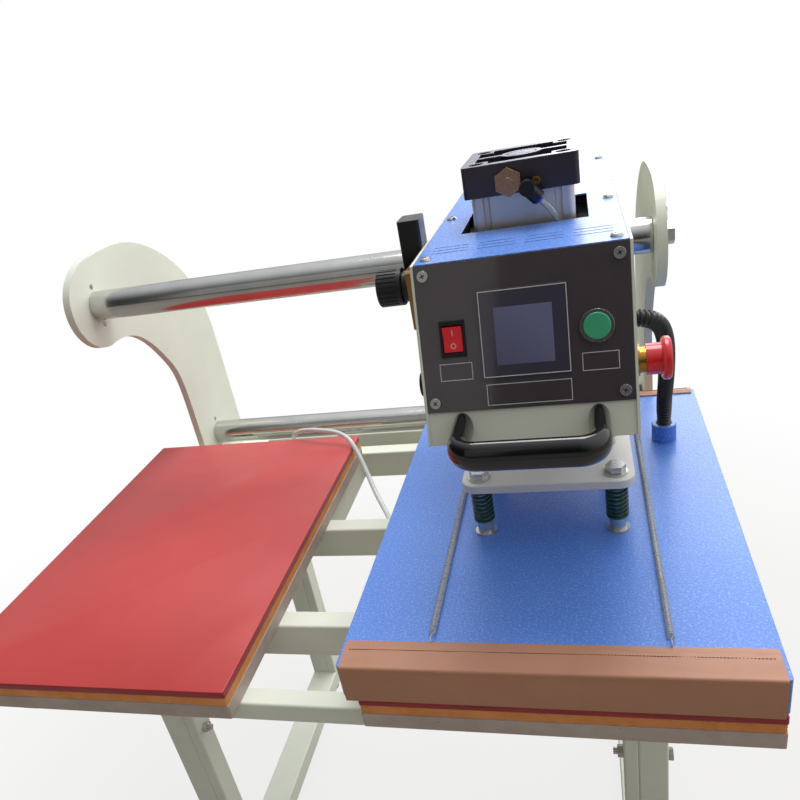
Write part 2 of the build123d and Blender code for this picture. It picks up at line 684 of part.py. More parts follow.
def cylinder_caps():
    """Top cap with its pocket, corner and centre bosses and rib, and bottom cap with the rod bush."""
    outline = Pos(HEAD_X, CYLINDER_Y) * RectangleRounded(CAP_SIZE, CAP_SIZE, 5.0)
    top = extrude(Pos(0, 0, BARREL_TOP) * outline, CAP_HEIGHT)
    bottom = extrude(Pos(0, 0, BARREL_BASE - CAP_HEIGHT) * outline, CAP_HEIGHT)
    summit = BARREL_TOP + CAP_HEIGHT
    centre = (HEAD_X, CYLINDER_Y)
    low = summit - CAP_POCKET
    pocket = Pos(*centre, low) * Box(CAP_SIZE - 22.0, CAP_SIZE - 22.0, CAP_POCKET, align=FROM_BASE)
    for x, y in tie_places():
        pocket -= Pos(x, y, low) * Box(CAP_CORNER, CAP_CORNER, CAP_POCKET, align=FROM_BASE)
    pocket -= rod((*centre, low), UPWARD, CAP_CENTRE, CAP_POCKET)
    pocket -= Pos(*centre, low) * Box(CAP_SIZE, 7.0, CAP_POCKET, align=FROM_BASE)
    top -= pocket
    top -= pipe((*centre, summit - 1.0), UPWARD, 15.5, 14.0, 1.0)
    for x, y in tie_places():
        top -= rod((x, y, BARREL_TOP), UPWARD, 4.0 + SCREW_PLAY, CAP_HEIGHT)
        top -= rod((x, y, summit - 10.0), UPWARD, TIE_POCKET, 10.0)
        bottom -= rod((x, y, BARREL_BASE), DOWNWARD, 4.0 + SCREW_PLAY, 15.0)
    holes = ((PLUG, PLUG_RADIUS), ((ELBOW_KNEE.X, ELBOW_KNEE.Z), ELBOW_THREAD), (CAP_SCREW, CAP_SCREW_RADIUS))
    for (x, z), radius in holes:
        top -= rod((x, CYLINDER_Y - CAP_SIZE / 2, z), TO_BACK, radius + SCREW_PLAY, CAP_HOLE_DEPTH)
    bottom -= rod((*centre, BARREL_BASE - CAP_HEIGHT), UPWARD, ROD_RADIUS + BUSH_PLAY, CAP_HEIGHT)
    return group([top, bottom])


def cylinder_fittings():
    """Blanking bolt, push-in elbow and small screw on the top cap, and a tee in the box."""
    face = CYLINDER_Y - CAP_SIZE / 2
    x, z = PLUG
    plug = rod((x, face, z), TO_BACK, PLUG_RADIUS, 12.0) + hexagon((x, face, z), TO_FRONT, 24.0, 7.0)
    plug += rod((x, face - 7.0, z), TO_FRONT, 4.6, 1.5)
    x, z = ELBOW_KNEE.X, ELBOW_KNEE.Z
    elbow = rod((x, face + 10.0, z), TO_FRONT, ELBOW_THREAD, 10.0)
    elbow += rod((x, face, z), TO_FRONT, ELBOW_NECK, face - ELBOW_KNEE.Y)
    elbow += rod((x, ELBOW_KNEE.Y + 6.4, z), TO_FRONT, ELBOW_BODY, 6.4 + ELBOW_BODY)
    elbow += rod(ELBOW_KNEE, ELBOW_AIM, ELBOW_BODY, ELBOW_REACH)
    x, z = CAP_SCREW
    screw = rod((x, face + 8.0, z), TO_FRONT, CAP_SCREW_RADIUS, 8.6)
    screw -= rod((x, face - 0.6, z), TO_BACK, 1.8, 4.0)
    low = Vector(CLEAR_ROUTE[-1])
    front = CYLINDER_Y - BARREL_SIZE / 2
    tee = block((low.X - 9, low.X + 9), (front - 11, front), (low.Z - 22, low.Z))
    return group([plug, elbow, screw, tee])


def round_corners(route):
    """Each corner's arc is as large as its two runs allow."""
    points = [Vector(p) for p in route]
    radii = []
    for before, corner, after in zip(points, points[1:], points[2:]):
        first, second = corner - before, after - corner
        turn = math.radians(first.get_angle(second))
        radii.append(0.45 * min(first.length, second.length) / math.tan(turn / 2))
    return FilletPolyline(*points, radius=radii), radii


def hose(name, route, radius):
    """A plain round hose along straight runs joined by arcs."""
    path, radii = round_corners(route)
    solid = sweep(Plane(path @ 0, z_dir=path % 0) * Circle(radius), path)
    expected = math.pi * radius ** 2 * path.length
    print(name, "length", round(path.length, 1), "volume share", round(solid.volume / expected, 4))
    print(name, "radii", [round(value) for value in radii])
    return solid


def heater_conduit():
    """The corrugated conduit, four circles to a rib, with its bore."""
    path, radii = round_corners(CONDUIT_ROUTE)
    pitch = path.length / CONDUIT_RIBS
    profile = ((0.0, CONDUIT_ROOT), (0.2, CONDUIT_CREST), (0.6, CONDUIT_CREST), (0.8, CONDUIT_ROOT))
    stations = [(rib + share, size) for rib in range(CONDUIT_RIBS) for share, size in profile]
    stations.append((CONDUIT_RIBS, CONDUIT_ROOT))

    def circle(turn, size):
        place = min(turn * pitch / path.length, 1.0)
        return Wire.make_circle(size, Plane(path @ place, x_dir=TO_BACK, z_dir=path % place))

    outside = Solid.make_loft([circle(turn, size) for turn, size in stations], ruled=True)
    inside = Solid.make_loft([circle(turn, CONDUIT_BORE) for turn, _ in stations[::4]], ruled=True)
    print("conduit length", round(path.length, 1), "radii", [round(value) for value in radii])
    return outside - inside


def conduit_gland():
    """The blue collar on the platen that the conduit's end slides into."""
    x, y = CONDUIT_ROUTE[-1][:2]
    gland = rod((x, y, COVER_TOP), UPWARD, GLAND_RADIUS, GLAND_HEIGHT)
    gland = chamfer(gland.edges().group_by(Axis.Z)[-1], 1.0)
    bore = rod((x, y, COVER_TOP + GLAND_FLOOR), UPWARD, CONDUIT_CREST + GLIDE, GLAND_HEIGHT)
    return gland - bore


def hose_mounts():
    """The inlet fitting on the third rail and two clips on the back of the fourth."""
    x, y, z = HOSE_ROUTE[0]
    rail_back = CROSS_RAILS_Y[1] + RAIL_WIDTH
    inlet = rod((x, rail_back, z), TO_BACK, 9.0, 8.0) + rod((x, rail_back, z), TO_BACK, 6.5, y - rail_back)
    pieces = [inlet]
    clip_back = CROSS_RAILS_Y[2] + RAIL_WIDTH
    line_y, line_z = HOSE_ROUTE[HOSE_CLIP_RUN][1:]
    for left in HOSE_CLIPS_X:
        shape = block((left, left + CLIP_WIDTH), (clip_back, line_y), (line_z - 7, line_z + 7))
        shape += rod((left, line_y, line_z), TO_RIGHT, 7.0, CLIP_WIDTH)
        pieces.append(shape - rod((left, line_y, line_z), TO_RIGHT, HOSE_RADIUS + GLIDE, CLIP_WIDTH))
    return group(pieces)


def hose_port():
    """The push-in port under the back of the carriage plate."""
    x, y, z = HOSE_ROUTE[-1]
    port = rod((x, y, HEAD_BOTTOM), DOWNWARD, PORT_RADIUS, HEAD_BOTTOM - z)
    return port + hexagon((x, y, HEAD_BOTTOM), DOWNWARD, 17.0, 6.0)


def head_fasteners():
    """Pan screws on the panel, dome screws on the cover and walls, and the cap's bolts."""
    screws = []
    for x, up in PANEL_SCREWS:
        head = PANEL * Pos(x, up, 0) * (Sphere(6.0) & Cylinder(5.0, 2.6, align=FROM_BASE))
        screws.append(head + panel_rod(x, up, -PANEL_THICK, 0, 1.8))
    for x in (-1, 1):
        for y in (HEAD_FRONT + 58.0, CYLINDER_Y + 20.0, HEAD_BACK - 40.0):
            dome = Sphere(6.0) & Pos(0, 0, 1.8) * Cylinder(6.0, 3.0, align=FROM_BASE)
            screws.append(Pos(HEAD_X + x * 83.0, y, HEAD_TOP - 1.8) * dome)
        for y in (UPPER_SHAFT_Y - 60.0, UPPER_SHAFT_Y + 60.0):
            wall = HEAD_X + x * HEAD_WIDTH / 2
            screws.append(rod((wall, y, UPPER_SHAFT_Z + 30.0), (x, 0, 0), 8.0, 5.0))
    for x, y in tie_places():
        seat = BARREL_TOP + CAP_HEIGHT - 10.0
        bolt = rod((x, y, seat), UPWARD, 6.5, 8.0) - hexagon((x, y, seat + 3.0), UPWARD, 6.0, 5.0)
        screws.append(bolt + rod((x, y, seat), DOWNWARD, 4.0, BARREL_HEIGHT + CAP_HEIGHT + 3.0))
    return group(screws)


# Controls

def touch_screen():
    glass = panel_slab(SCREEN[2], SCREEN[2], 0, 1.2, *SCREEN[:2])
    back = panel_slab(SCREEN_BACK, SCREEN_BACK, -28.0, 0, *SCREEN[:2])
    return glass + back


ROCKER_TILT = 7.0
PIN_DEPTH = 2.0
PIN_RADIUS = 1.0


def rocker_pin(radius, length):
    """A round bar along the axis on which the rocker tips."""
    return PANEL * Pos(SWITCH[0], SWITCH[1], -PIN_DEPTH) * Rot(0, 90, 0) * Cylinder(radius, length)


def switch_bezel():
    """The switch's housing with its frame and the rocker's pin."""
    x, up, width, height = SWITCH
    bezel = panel_slab(width, height, 0, 2.0, x, up) + panel_slab(width - 3.4, height - 3.4, -24.0, 0, x, up)
    bezel -= panel_slab(ROCKER[0] + 1.0, ROCKER[1] + 1.0, -14.0, 2.0, x, up)
    return bezel + rocker_pin(PIN_RADIUS, width - 3.4)


def power_rocker():
    """The switch's rocker, a shallow V, tilted on its pin towards ON."""
    width, height = ROCKER
    half = height / 2 - 0.6
    outline = make_face(Polyline((-half, -5), (half, -5), (half, 2.4), (0, 0.8), (-half, 2.4), close=True))
    body = extrude(Plane((-width / 2, 0, 0), x_dir=TO_BACK, z_dir=TO_RIGHT) * outline, width)
    pin = Pos(SWITCH[0], SWITCH[1], -PIN_DEPTH)
    rocker = PANEL * pin * Rot(ROCKER_TILT, 0, 0) * Pos(0, 0, PIN_DEPTH) * body
    return rocker - rocker_pin(PIN_RADIUS + SCREW_PLAY, width)


def button_ring():
    x, up = BUTTON
    ring = panel_rod(x, up, 0, 4.0, BUTTON_RING) + panel_rod(x, up, -30.0, 0, BUTTON_RING - 1.8)
    return ring - panel_rod(x, up, -14.0, 4.0, BUTTON_RADIUS + GLIDE)


def start_button():
    button = panel_rod(*BUTTON, -9.0, 5.5, BUTTON_RADIUS)
    return fillet(button.edges().sort_by(Axis(PANEL.origin, PANEL.z_dir))[-1], 1.2)


ESTOP_NECK = 14.5
ESTOP_HEAD = 20.0
ESTOP_FLANGE = 4.0
ESTOP_NOSE = 11.0
ESTOP_NOSE_RADIUS = 12.0
ESTOP_START = 9.5
ESTOP_SEAT = 17.5


def estop_collar():
    """The brass-coloured collar on the right wall, with its barrel through the wall."""
    y, z = ESTOP
    face = HEAD_X + HEAD_WIDTH / 2
    collar = rod((face, y, z), TO_RIGHT, 15.0, ESTOP_FLANGE) + rod((face, y, z), TO_LEFT, 11.0, 30.0)
    collar += rod((face, y, z), TO_RIGHT, ESTOP_NOSE_RADIUS, ESTOP_NOSE)
    return collar - rod((face + ESTOP_NOSE, y, z), TO_LEFT, 6.0 + GLIDE, ESTOP_NOSE + 22.0)


def estop_plunger():
    """The push rod inside the collar, which latches the contacts when it is driven in."""
    y, z = ESTOP
    seat = HEAD_X + HEAD_WIDTH / 2 + ESTOP_SEAT
    return rod((seat, y, z), TO_LEFT, 6.0, 31.5)


def estop_mushroom():
    """The red mushroom on the push rod, pressed in to stop and turned to let go."""
    y, z = ESTOP
    wall = HEAD_X + HEAD_WIDTH / 2
    start = wall + ESTOP_START
    base = wall + 23.0
    neck = rod((start, y, z), TO_RIGHT, ESTOP_NECK, base - start)
    neck -= rod((start, y, z), TO_RIGHT, ESTOP_NOSE_RADIUS + GLIDE, ESTOP_SEAT - ESTOP_START)
    cap = rod((base, y, z), TO_RIGHT, ESTOP_HEAD, 8.5)
    rims = cap.edges().filter_by(GeomType.CIRCLE)
    return neck + fillet(rims, 3.5)


def regulator_body():
    """The pressure regulator's bonnet and its spindle, on the left wall."""
    y, z = REGULATOR
    wall = HEAD_X - HEAD_WIDTH / 2
    bonnet = rod((wall - 12.5, y, z), TO_LEFT, 15.0, 6.0)
    spindle = rod((wall - 18.5, y, z), TO_LEFT, 5.0, 16.0)
    return bonnet + spindle


KNOB_RADIUS = 18.0


def regulator_knob():
    y, z = REGULATOR
    start = HEAD_X - HEAD_WIDTH / 2 - 18.8
    knob = rod((start, y, z), TO_LEFT, KNOB_RADIUS, 25.0)
    knob = chamfer(knob.edges().filter_by(GeomType.CIRCLE), 1.0)
    for step in range(24):
        angle = math.radians(15 * step)
        place = (start - 5.0, y + KNOB_RADIUS * math.cos(angle), z + KNOB_RADIUS * math.sin(angle))
        knob -= rod(place, TO_LEFT, 0.9, 21.0)
    return knob - rod((start, y, z), TO_LEFT, 5.0 + GLIDE, 17.0)


def air_valve():
    """The brass valve body on the left wall, with the solenoid's coil standing behind it."""
    y, z = REGULATOR
    wall = HEAD_X - HEAD_WIDTH / 2
    brass = block((wall - 12.5, wall), (y - 18, y + 20), (z - 40, z + 18))
    brass = chamfer(brass.edges().filter_by(Axis.X), 2.0)
    brass += rod((wall - 6.5, y, z - 40), DOWNWARD, 5.5, 6.0)
    coil = block((wall - 22.0, wall - 0.3), (y + 20, y + 52), (z - 17, z + 57))
    coil = fillet(coil.edges().filter_by(Axis.Z), 3.0)
    return group([brass, coil])


def buzzer():
    y, z = BUZZER
    wall = HEAD_X - HEAD_WIDTH / 2
    case = rod((wall, y, z), TO_LEFT, 13.0, 11.0)
    case = chamfer(case.edges().sort_by(Axis.X)[0], 1.5)
    return case - rod((wall - 11.0, y, z), TO_RIGHT, 3.0, 3.0)


def control_board():
    """The circuit board behind the panel, with its transformer and relay."""
    floor = HEAD_BOTTOM + CARRIAGE_PLATE
    y = HEAD_FRONT + 80.0
    board = block((HEAD_X - 80, HEAD_X + 80), (y, y + 2), (floor + 6, floor + 84))
    transformer = block((HEAD_X - 72, HEAD_X - 32), (y + 2, y + 34), (floor + 12, floor + 50))
    relay = block((HEAD_X + 20, HEAD_X + 68), (y + 2, y + 24), (floor + 12, floor + 42))
    rails = [block((HEAD_X + x - 4, HEAD_X + x + 4), (y, y + 12), (floor, floor + 6)) for x in (-70, 70)]
    return board + transformer + relay + rails[0] + rails[1]


# Press head

PISTON_Z = BARREL_BASE + GLIDE


def piston():
    """The piston and its rod, which screws into the press plate under a lock nut."""
    plate_top = PRESS_PLATE_Z + PRESS_PLATE[2]
    piston_disc = rod((HEAD_X, CYLINDER_Y, PISTON_Z), UPWARD, BORE_RADIUS - BUSH_PLAY, PISTON_HEIGHT)
    shank = rod((HEAD_X, CYLINDER_Y, PRESS_PLATE_Z), UPWARD, ROD_RADIUS, PISTON_Z - PRESS_PLATE_Z)
    nut = hexagon((HEAD_X, CYLINDER_Y, plate_top), UPWARD, 36.0, 12.0)
    return piston_disc + shank + nut


def guide_rod_places():
    return [(HEAD_X + side * GUIDE_ROD_X, CYLINDER_Y, PRESS_PLATE_Z) for side in (-1, 1)]


def guide_rods():
    """Two rods on the press plate that keep the platen from turning."""
    return group([rod(place, UPWARD, GUIDE_ROD_RADIUS, GUIDE_ROD_LENGTH) for place in guide_rod_places()])


def spring_places():
    return [
        (HEAD_X + x * SPRING_BOLT_X, PAD_CENTRE + y * SPRING_BOLT_Y) for x in (-1, 1) for y in (-1, 1)
    ]


def press_plate():
    width, depth, height = PRESS_PLATE
    outline = Pos(HEAD_X, PAD_CENTRE) * RectangleRounded(width, depth, 18.0)
    plate = extrude(Pos(0, 0, PRESS_PLATE_Z) * outline, height)
    plate = chamfer(plate.faces().sort_by(Axis.Z)[-1].edges(), 0.8)
    plate -= rod((HEAD_X, CYLINDER_Y, PRESS_PLATE_Z), UPWARD, ROD_RADIUS, height)
    plate -= [rod(place, UPWARD, GUIDE_ROD_RADIUS, height) for place in guide_rod_places()]
    for x, y in spring_places():
        plate -= rod((x, y, PRESS_PLATE_Z), UPWARD, SPRING_BOLT_RADIUS + GLIDE, height)
    return plate


def spring_bolts():
    """Shoulder bolts on the platen, with a sleeve at the foot and a head over the plate."""
    bolts = []
    plate_top = PRESS_PLATE_Z + PRESS_PLATE[2] + GLIDE
    for x, y in spring_places():
        bolt = rod((x, y, COVER_TOP), UPWARD, SPRING_BOLT_RADIUS, plate_top - COVER_TOP)
        bolt += rod((x, y, COVER_TOP), UPWARD, 13.0, WASHER)
        bolt += rod((x, y, COVER_TOP + WASHER), UPWARD, SLEEVE_RADIUS, SLEEVE_HEIGHT)
        bolt += rod((x, y, plate_top), UPWARD, 13.0, WASHER)
        bolt += hexagon((x, y, plate_top + WASHER), UPWARD, 19.0, 8.0)
        bolts.append(bolt)
    return group(bolts)


def die_springs():
    """The four green springs between the sleeves and the press plate."""
    springs = []
    low = COVER_TOP + WASHER + SLEEVE_HEIGHT + SPRING_WIRE + GLIDE
    high = PRESS_PLATE_Z - SPRING_WIRE - GLIDE
    pitch = (high - low) / SPRING_TURNS
    radius = SPRING_RADIUS - SPRING_WIRE
    for x, y in spring_places():
        springs.append(coil_spring((x, y, low), UPWARD, radius, pitch, SPRING_TURNS, SPRING_WIRE, 0.0))
    print("die springs: least gap between turns", coil_gap(radius, pitch, SPRING_TURNS, SPRING_WIRE))
    return group(springs)


def coil_point(frame, radius, pitch, turn):
    angle = 2 * math.pi * turn
    return frame.from_local_coords(Vector(radius * math.cos(angle), radius * math.sin(angle), pitch * turn))


def coil_gap(radius, pitch, turns, wire):
    """The least gap between one turn and the next, measured on points along the wire."""
    steps = 48
    points = [coil_point(Plane.XY, radius, pitch, step / steps) for step in range(turns * steps + 1)]
    least = min(
        (points[later] - point).length
        for index, point in enumerate(points)
        for later in range(index + steps // 2, min(index + 2 * steps, len(points)))
    )
    return round(least - 2 * wire, 2)


def coil_spring(base, axis, radius, pitch, turns, wire, hook):
    """One unbroken wire wound in a coil, with a straight hook at each end along the axis."""
    frame = Plane(base, z_dir=axis)

    def heading(turn):
        angle = 2 * math.pi * turn
        local = Vector(-radius * math.sin(angle), radius * math.cos(angle), pitch / (2 * math.pi))
        return frame.from_local_coords(local) - frame.origin

    def place(turn):
        return coil_point(frame, radius, pitch, turn)

    edges = []
    for half in range(2 * turns):
        first, last = half / 2, (half + 1) / 2
        edges += biarc(place(first), heading(first), place(last), heading(last))
    if hook:
        along = frame.z_dir
        lead_in = biarc(place(0) - heading(0).normalized() * radius - along * radius, along,
                        place(0), heading(0))
        lead_out = biarc(place(turns), heading(turns),
                         place(turns) + heading(turns).normalized() * radius + along * radius, along)
        start = lead_in[0] @ 0
        finish = lead_out[-1] @ 1
        edges = [Line(start - along * hook, start).edge(), *lead_in, *edges, *lead_out]
        edges.append(Line(finish, finish + along * hook).edge())
        return sweep(Plane(start - along * hook, z_dir=along) * Circle(wire), Wire(edges))
    return sweep(Plane(place(0), z_dir=heading(0)) * Circle(wire), Wire(edges))


def biarc(start, start_heading, end, end_heading):
    """Two arcs that leave one point and reach the next along the given headings."""
    t0 = start_heading.normalized()
    t1 = end_heading.normalized()
    gap = end - start
    both = t0 + t1
    spread = both.dot(both) - 4
    along = gap.dot(both)
    reach = (math.sqrt(along * along - spread * gap.dot(gap)) - along) / -spread
    middle = (start + t0 * reach + end - t1 * reach) * 0.5
    first = Edge.make_tangent_arc(start, t0, middle)
    second = Edge.make_tangent_arc(middle, first % 1, end)
    return [first, second]


# Heated platen

def platen_cover():
    """The blue sheet cover over the heater, open below."""
    half = COVER_WIDTH / 2
    outside = block((HEAD_X - half, HEAD_X + half), (PAD_FRONT, PAD_BACK), (COVER_BOTTOM, COVER_TOP))
    outside = fillet(outside.edges().filter_by(Axis.Z), 3.0)
    inside = block(
        (HEAD_X - half + COVER_SHEET, HEAD_X + half - COVER_SHEET),
        (PAD_FRONT + COVER_SHEET, PAD_BACK - COVER_SHEET), (COVER_BOTTOM, COVER_TOP - COVER_SHEET),
    )
    return outside - inside


HEATER_HALF = PAD_WIDTH / 2
HEATER_INSET = 6.0


def heater_plate():
    """The cast aluminium plate with the heating rods cast into it."""
    plate = block(
        (HEAD_X - HEATER_HALF, HEAD_X + HEATER_HALF), (PAD_FRONT + HEATER_INSET, PAD_BACK - HEATER_INSET),
        (HEATER_BOTTOM, HEATER_BOTTOM + HEATER_THICK),
    )
    return fillet(plate.edges().filter_by(Axis.Z), 3.0)


def insulation_board():
    """The board of packed fibre between the heater and the cover's top."""
    x = (HEAD_X - HEATER_HALF, HEAD_X + HEATER_HALF)
    y = (PAD_FRONT + HEATER_INSET, PAD_BACK - HEATER_INSET)
    return block(x, y, (HEATER_BOTTOM + HEATER_THICK, COVER_TOP - COVER_SHEET))


def teflon_sheet():
    """The release sheet under the heater, turned up round both ends on to the cover."""
    half = PTFE_WIDTH / 2
    low = HEATER_BOTTOM - PTFE
    front = PAD_FRONT - SHEET_BULGE
    back = PAD_BACK + SHEET_BULGE
    top = COVER_TOP + PTFE
    outer = Polyline(
        (front + PTFE_LAP + SHEET_BULGE, COVER_TOP), (front + PTFE_LAP + SHEET_BULGE, top), (front, top),
        (front, low), (back, low), (back, top), (back - PTFE_LAP - SHEET_BULGE, top),
        (back - PTFE_LAP - SHEET_BULGE, COVER_TOP), (back - PTFE, COVER_TOP), (back - PTFE, HEATER_BOTTOM),
        (front + PTFE, HEATER_BOTTOM), (front + PTFE, COVER_TOP), close=True,
    )
    return along_x(make_face(outer), HEAD_X - half, PTFE_WIDTH)


def stretch_springs():
    """Two long thin springs with hooks that pull the release sheet tight over the cover."""
    springs = []
    radius = STRETCH_SPRING_RADIUS - STRETCH_SPRING_WIRE
    z = COVER_TOP + PTFE + STRETCH_SPRING_RADIUS + GLIDE
    start = PAD_FRONT + PTFE_LAP + STRETCH_SPRING_HOOK
    length = PAD_BACK - PTFE_LAP - STRETCH_SPRING_HOOK - start
    pitch = length / STRETCH_SPRING_TURNS
    hook = STRETCH_SPRING_HOOK - radius
    for side in (-1, 1):
        base = (HEAD_X + side * STRETCH_SPRING_X, start, z)
        springs.append(
            coil_spring(base, TO_BACK, radius, pitch, STRETCH_SPRING_TURNS, STRETCH_SPRING_WIRE, hook)
        )
    gap = coil_gap(radius, pitch, STRETCH_SPRING_TURNS, STRETCH_SPRING_WIRE)
    print("stretch springs: least gap between turns", gap)
    return group(springs)


def save(parts):
    os.makedirs("parts", exist_ok=True)
    for name, shape in parts.items():
        export_step(shape, f"parts/{name}.step")


PARTS = {
    "front_rail": front_rail(),
    "cross_rails": cross_rails(),
    "table_tubes": table_tubes(),
    "side_beams": side_beams(),
    "back_rail": back_rail(),
    "front_legs": legs(FRONT_LEG_Y),
    "rear_legs": legs(REAR_LEG_Y),
    "floor_beams": floor_beams(),
    "rubber_feet": rubber_feet(),
    "left_side_plate": side_plate(-1),
    "right_side_plate": side_plate(1),
    "upper_shaft": guide_shaft(UPPER_SHAFT_Y, UPPER_SHAFT_Z),
    "lower_shaft": guide_shaft(LOWER_SHAFT_Y, LOWER_SHAFT_Z),
    "frame_bolts": frame_bolts(),
    "table_plates": table_layer(TABLE_UNDER, TABLE_UNDER + TABLE_PLATE),
    "sponge_layers": table_layer(TABLE_TOP - SILICONE - SPONGE, TABLE_TOP - SILICONE),
    "silicone_pads": table_layer(TABLE_TOP - SILICONE, TABLE_TOP),
    "carriage_plate": carriage_plate(),
    "bearing_housing": bearing_housing(),
    "bushes": bushes(),
    "guide_tube": guide_tube(),
    "stop_buffers": stop_buffers(),
    "rear_arm": rear_arm(),
    "head_shell": head_shell(),
    "head_cover": head_cover(),
    "control_panel": control_panel(),
    "front_handle": front_handle(),
    "cylinder_barrel": cylinder_barrel(),
    "cylinder_caps": cylinder_caps(),
    "cylinder_fittings": cylinder_fittings(),
    "head_fasteners": head_fasteners(),
    "touch_screen": touch_screen(),
    "switch_bezel": switch_bezel(),
    "power_rocker": power_rocker(),
    "button_ring": button_ring(),
    "start_button": start_button(),
    "estop_collar": estop_collar(),
    "estop_plunger": estop_plunger(),
    "estop_mushroom": estop_mushroom(),
    "regulator_body": regulator_body(),
    "regulator_knob": regulator_knob(),
    "air_valve": air_valve(),
    "buzzer": buzzer(),
    "control_board": control_board(),
    "piston": piston(),
    "guide_rods": guide_rods(),
    "press_plate": press_plate(),
    "spring_bolts": spring_bolts(),
    "die_springs": die_springs(),
    "platen_cover": platen_cover(),
    "heater_plate": heater_plate(),
    "insulation_board": insulation_board(),
    "teflon_sheet": teflon_sheet(),
    "stretch_springs": stretch_springs(),
    "conduit_gland": conduit_gland(),
    "heater_conduit": heater_conduit(),
    "hose_mounts": hose_mounts(),
    "hose_port": hose_port(),
    "air_hose": hose("air hose", HOSE_ROUTE, HOSE_RADIUS),
    "cylinder_hose": hose("cylinder hose", CLEAR_ROUTE, CLEAR_RADIUS),
}

save(PARTS)
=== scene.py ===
import json
import math
import random

import bmesh
import bpy
from mathutils import Matrix, Vector, noise

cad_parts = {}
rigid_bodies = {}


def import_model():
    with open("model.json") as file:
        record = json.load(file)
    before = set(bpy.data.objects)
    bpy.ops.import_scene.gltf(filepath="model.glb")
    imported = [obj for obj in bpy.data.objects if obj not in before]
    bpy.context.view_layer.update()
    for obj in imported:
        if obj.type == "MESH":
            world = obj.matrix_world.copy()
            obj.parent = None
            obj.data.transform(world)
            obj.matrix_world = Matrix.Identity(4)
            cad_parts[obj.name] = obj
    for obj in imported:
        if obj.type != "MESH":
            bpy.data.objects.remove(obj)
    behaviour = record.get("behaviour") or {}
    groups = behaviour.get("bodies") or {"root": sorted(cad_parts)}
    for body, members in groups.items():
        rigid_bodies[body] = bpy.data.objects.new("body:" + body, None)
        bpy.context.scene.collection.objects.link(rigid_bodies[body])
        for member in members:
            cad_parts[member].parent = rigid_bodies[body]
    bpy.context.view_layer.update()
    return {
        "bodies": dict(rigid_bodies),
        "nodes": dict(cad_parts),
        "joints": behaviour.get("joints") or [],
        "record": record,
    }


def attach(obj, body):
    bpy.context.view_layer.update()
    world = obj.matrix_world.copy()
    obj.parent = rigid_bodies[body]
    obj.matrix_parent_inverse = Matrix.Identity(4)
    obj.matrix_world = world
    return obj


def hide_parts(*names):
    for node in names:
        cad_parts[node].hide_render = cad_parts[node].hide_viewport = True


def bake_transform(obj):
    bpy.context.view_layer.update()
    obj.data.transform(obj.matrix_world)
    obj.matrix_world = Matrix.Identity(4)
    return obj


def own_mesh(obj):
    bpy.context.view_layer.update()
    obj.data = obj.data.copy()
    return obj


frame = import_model()
NODES = frame["nodes"]
MM = 0.001
PAD_CORNER = 2.0 * MM

# The camera stands where the photographer stood
EYE = Vector((0.3242, -0.9052, 1.3762))
YAW, PITCH, ROLL = (math.radians(angle) for angle in (-18.17, 26.91, 11.68))


def place_camera():
    forward = Vector((
        math.sin(YAW) * math.cos(PITCH), math.cos(YAW) * math.cos(PITCH), -math.sin(PITCH),
    ))
    level = Vector((math.cos(YAW), -math.sin(YAW), 0.0))
    drop = forward.cross(level)
    right = level * math.cos(ROLL) + drop * math.sin(ROLL)
    down = drop * math.cos(ROLL) - level * math.sin(ROLL)
    data = bpy.data.cameras.new("camera")
    data.lens = 32.6
    data.sensor_width = 36.0
    data.shift_x = 0.0207
    data.shift_y = 0.0625
    camera = bpy.data.objects.new("camera", data)
    rotation = Matrix((right, -down, -forward)).transposed()
    camera.matrix_world = Matrix.Translation(EYE) @ rotation.to_4x4()
    bpy.context.scene.collection.objects.link(camera)
    bpy.context.scene.camera = camera


place_camera()


# Meshes

def mesh_object(name, points, faces, material, smooth=30.0):
    mesh = bpy.data.meshes.new(name)
    mesh.from_pydata([tuple(p) for p in points], [], faces)
    mesh.validate()
    build = bmesh.new()
    build.from_mesh(mesh)
    bmesh.ops.recalc_face_normals(build, faces=build.faces)
    build.to_mesh(mesh)
    build.free()
    mesh.polygons.foreach_set("use_smooth", [smooth > 0] * len(mesh.polygons))
    mesh.set_sharp_from_angle(angle=math.radians(smooth))
    mesh.materials.append(material)
    made = bpy.data.objects.new(name, mesh)
    bpy.context.scene.collection.objects.link(made)
    return made


class Parts:
    """Points and faces of several closed shapes that become one mesh."""

    def __init__(self):
        self.points = []
        self.faces = []

    def add(self, points, faces):
        base = len(self.points)
        self.points += points
        self.faces += [tuple(i + base for i in face) for face in faces]

    def rings(self, rings, closed=False):
        """Skins neighbouring rings of points, and caps the two ends unless the rings close."""
        sides = len(rings[0])
        points = [p for ring in rings for p in ring]
        faces = []
        last = len(rings) if closed else len(rings) - 1
        for row in range(last):
            a, b = row * sides, (row + 1) % len(rings) * sides
            for i in range(sides):
                j = (i + 1) % sides
                faces.append((a + i, a + j, b + j, b + i))
        if not closed:
            faces.append(tuple(range(sides))[::-1])
            faces.append(tuple(range(len(points) - sides, len(points))))
        self.add(points, faces)

    def box(self, frame, x, y, z):
        corners = [Vector((a, b, c)) for c in z for b in y for a in x]
        faces = ((0, 2, 3, 1), (4, 5, 7, 6), (0, 1, 5, 4), (2, 6, 7, 3), (0, 4, 6, 2), (1, 3, 7, 5))
        self.add([frame @ p for p in corners], faces)

    def build(self, name, material, smooth=30.0):
        return mesh_object(name, self.points, self.faces, material, smooth)


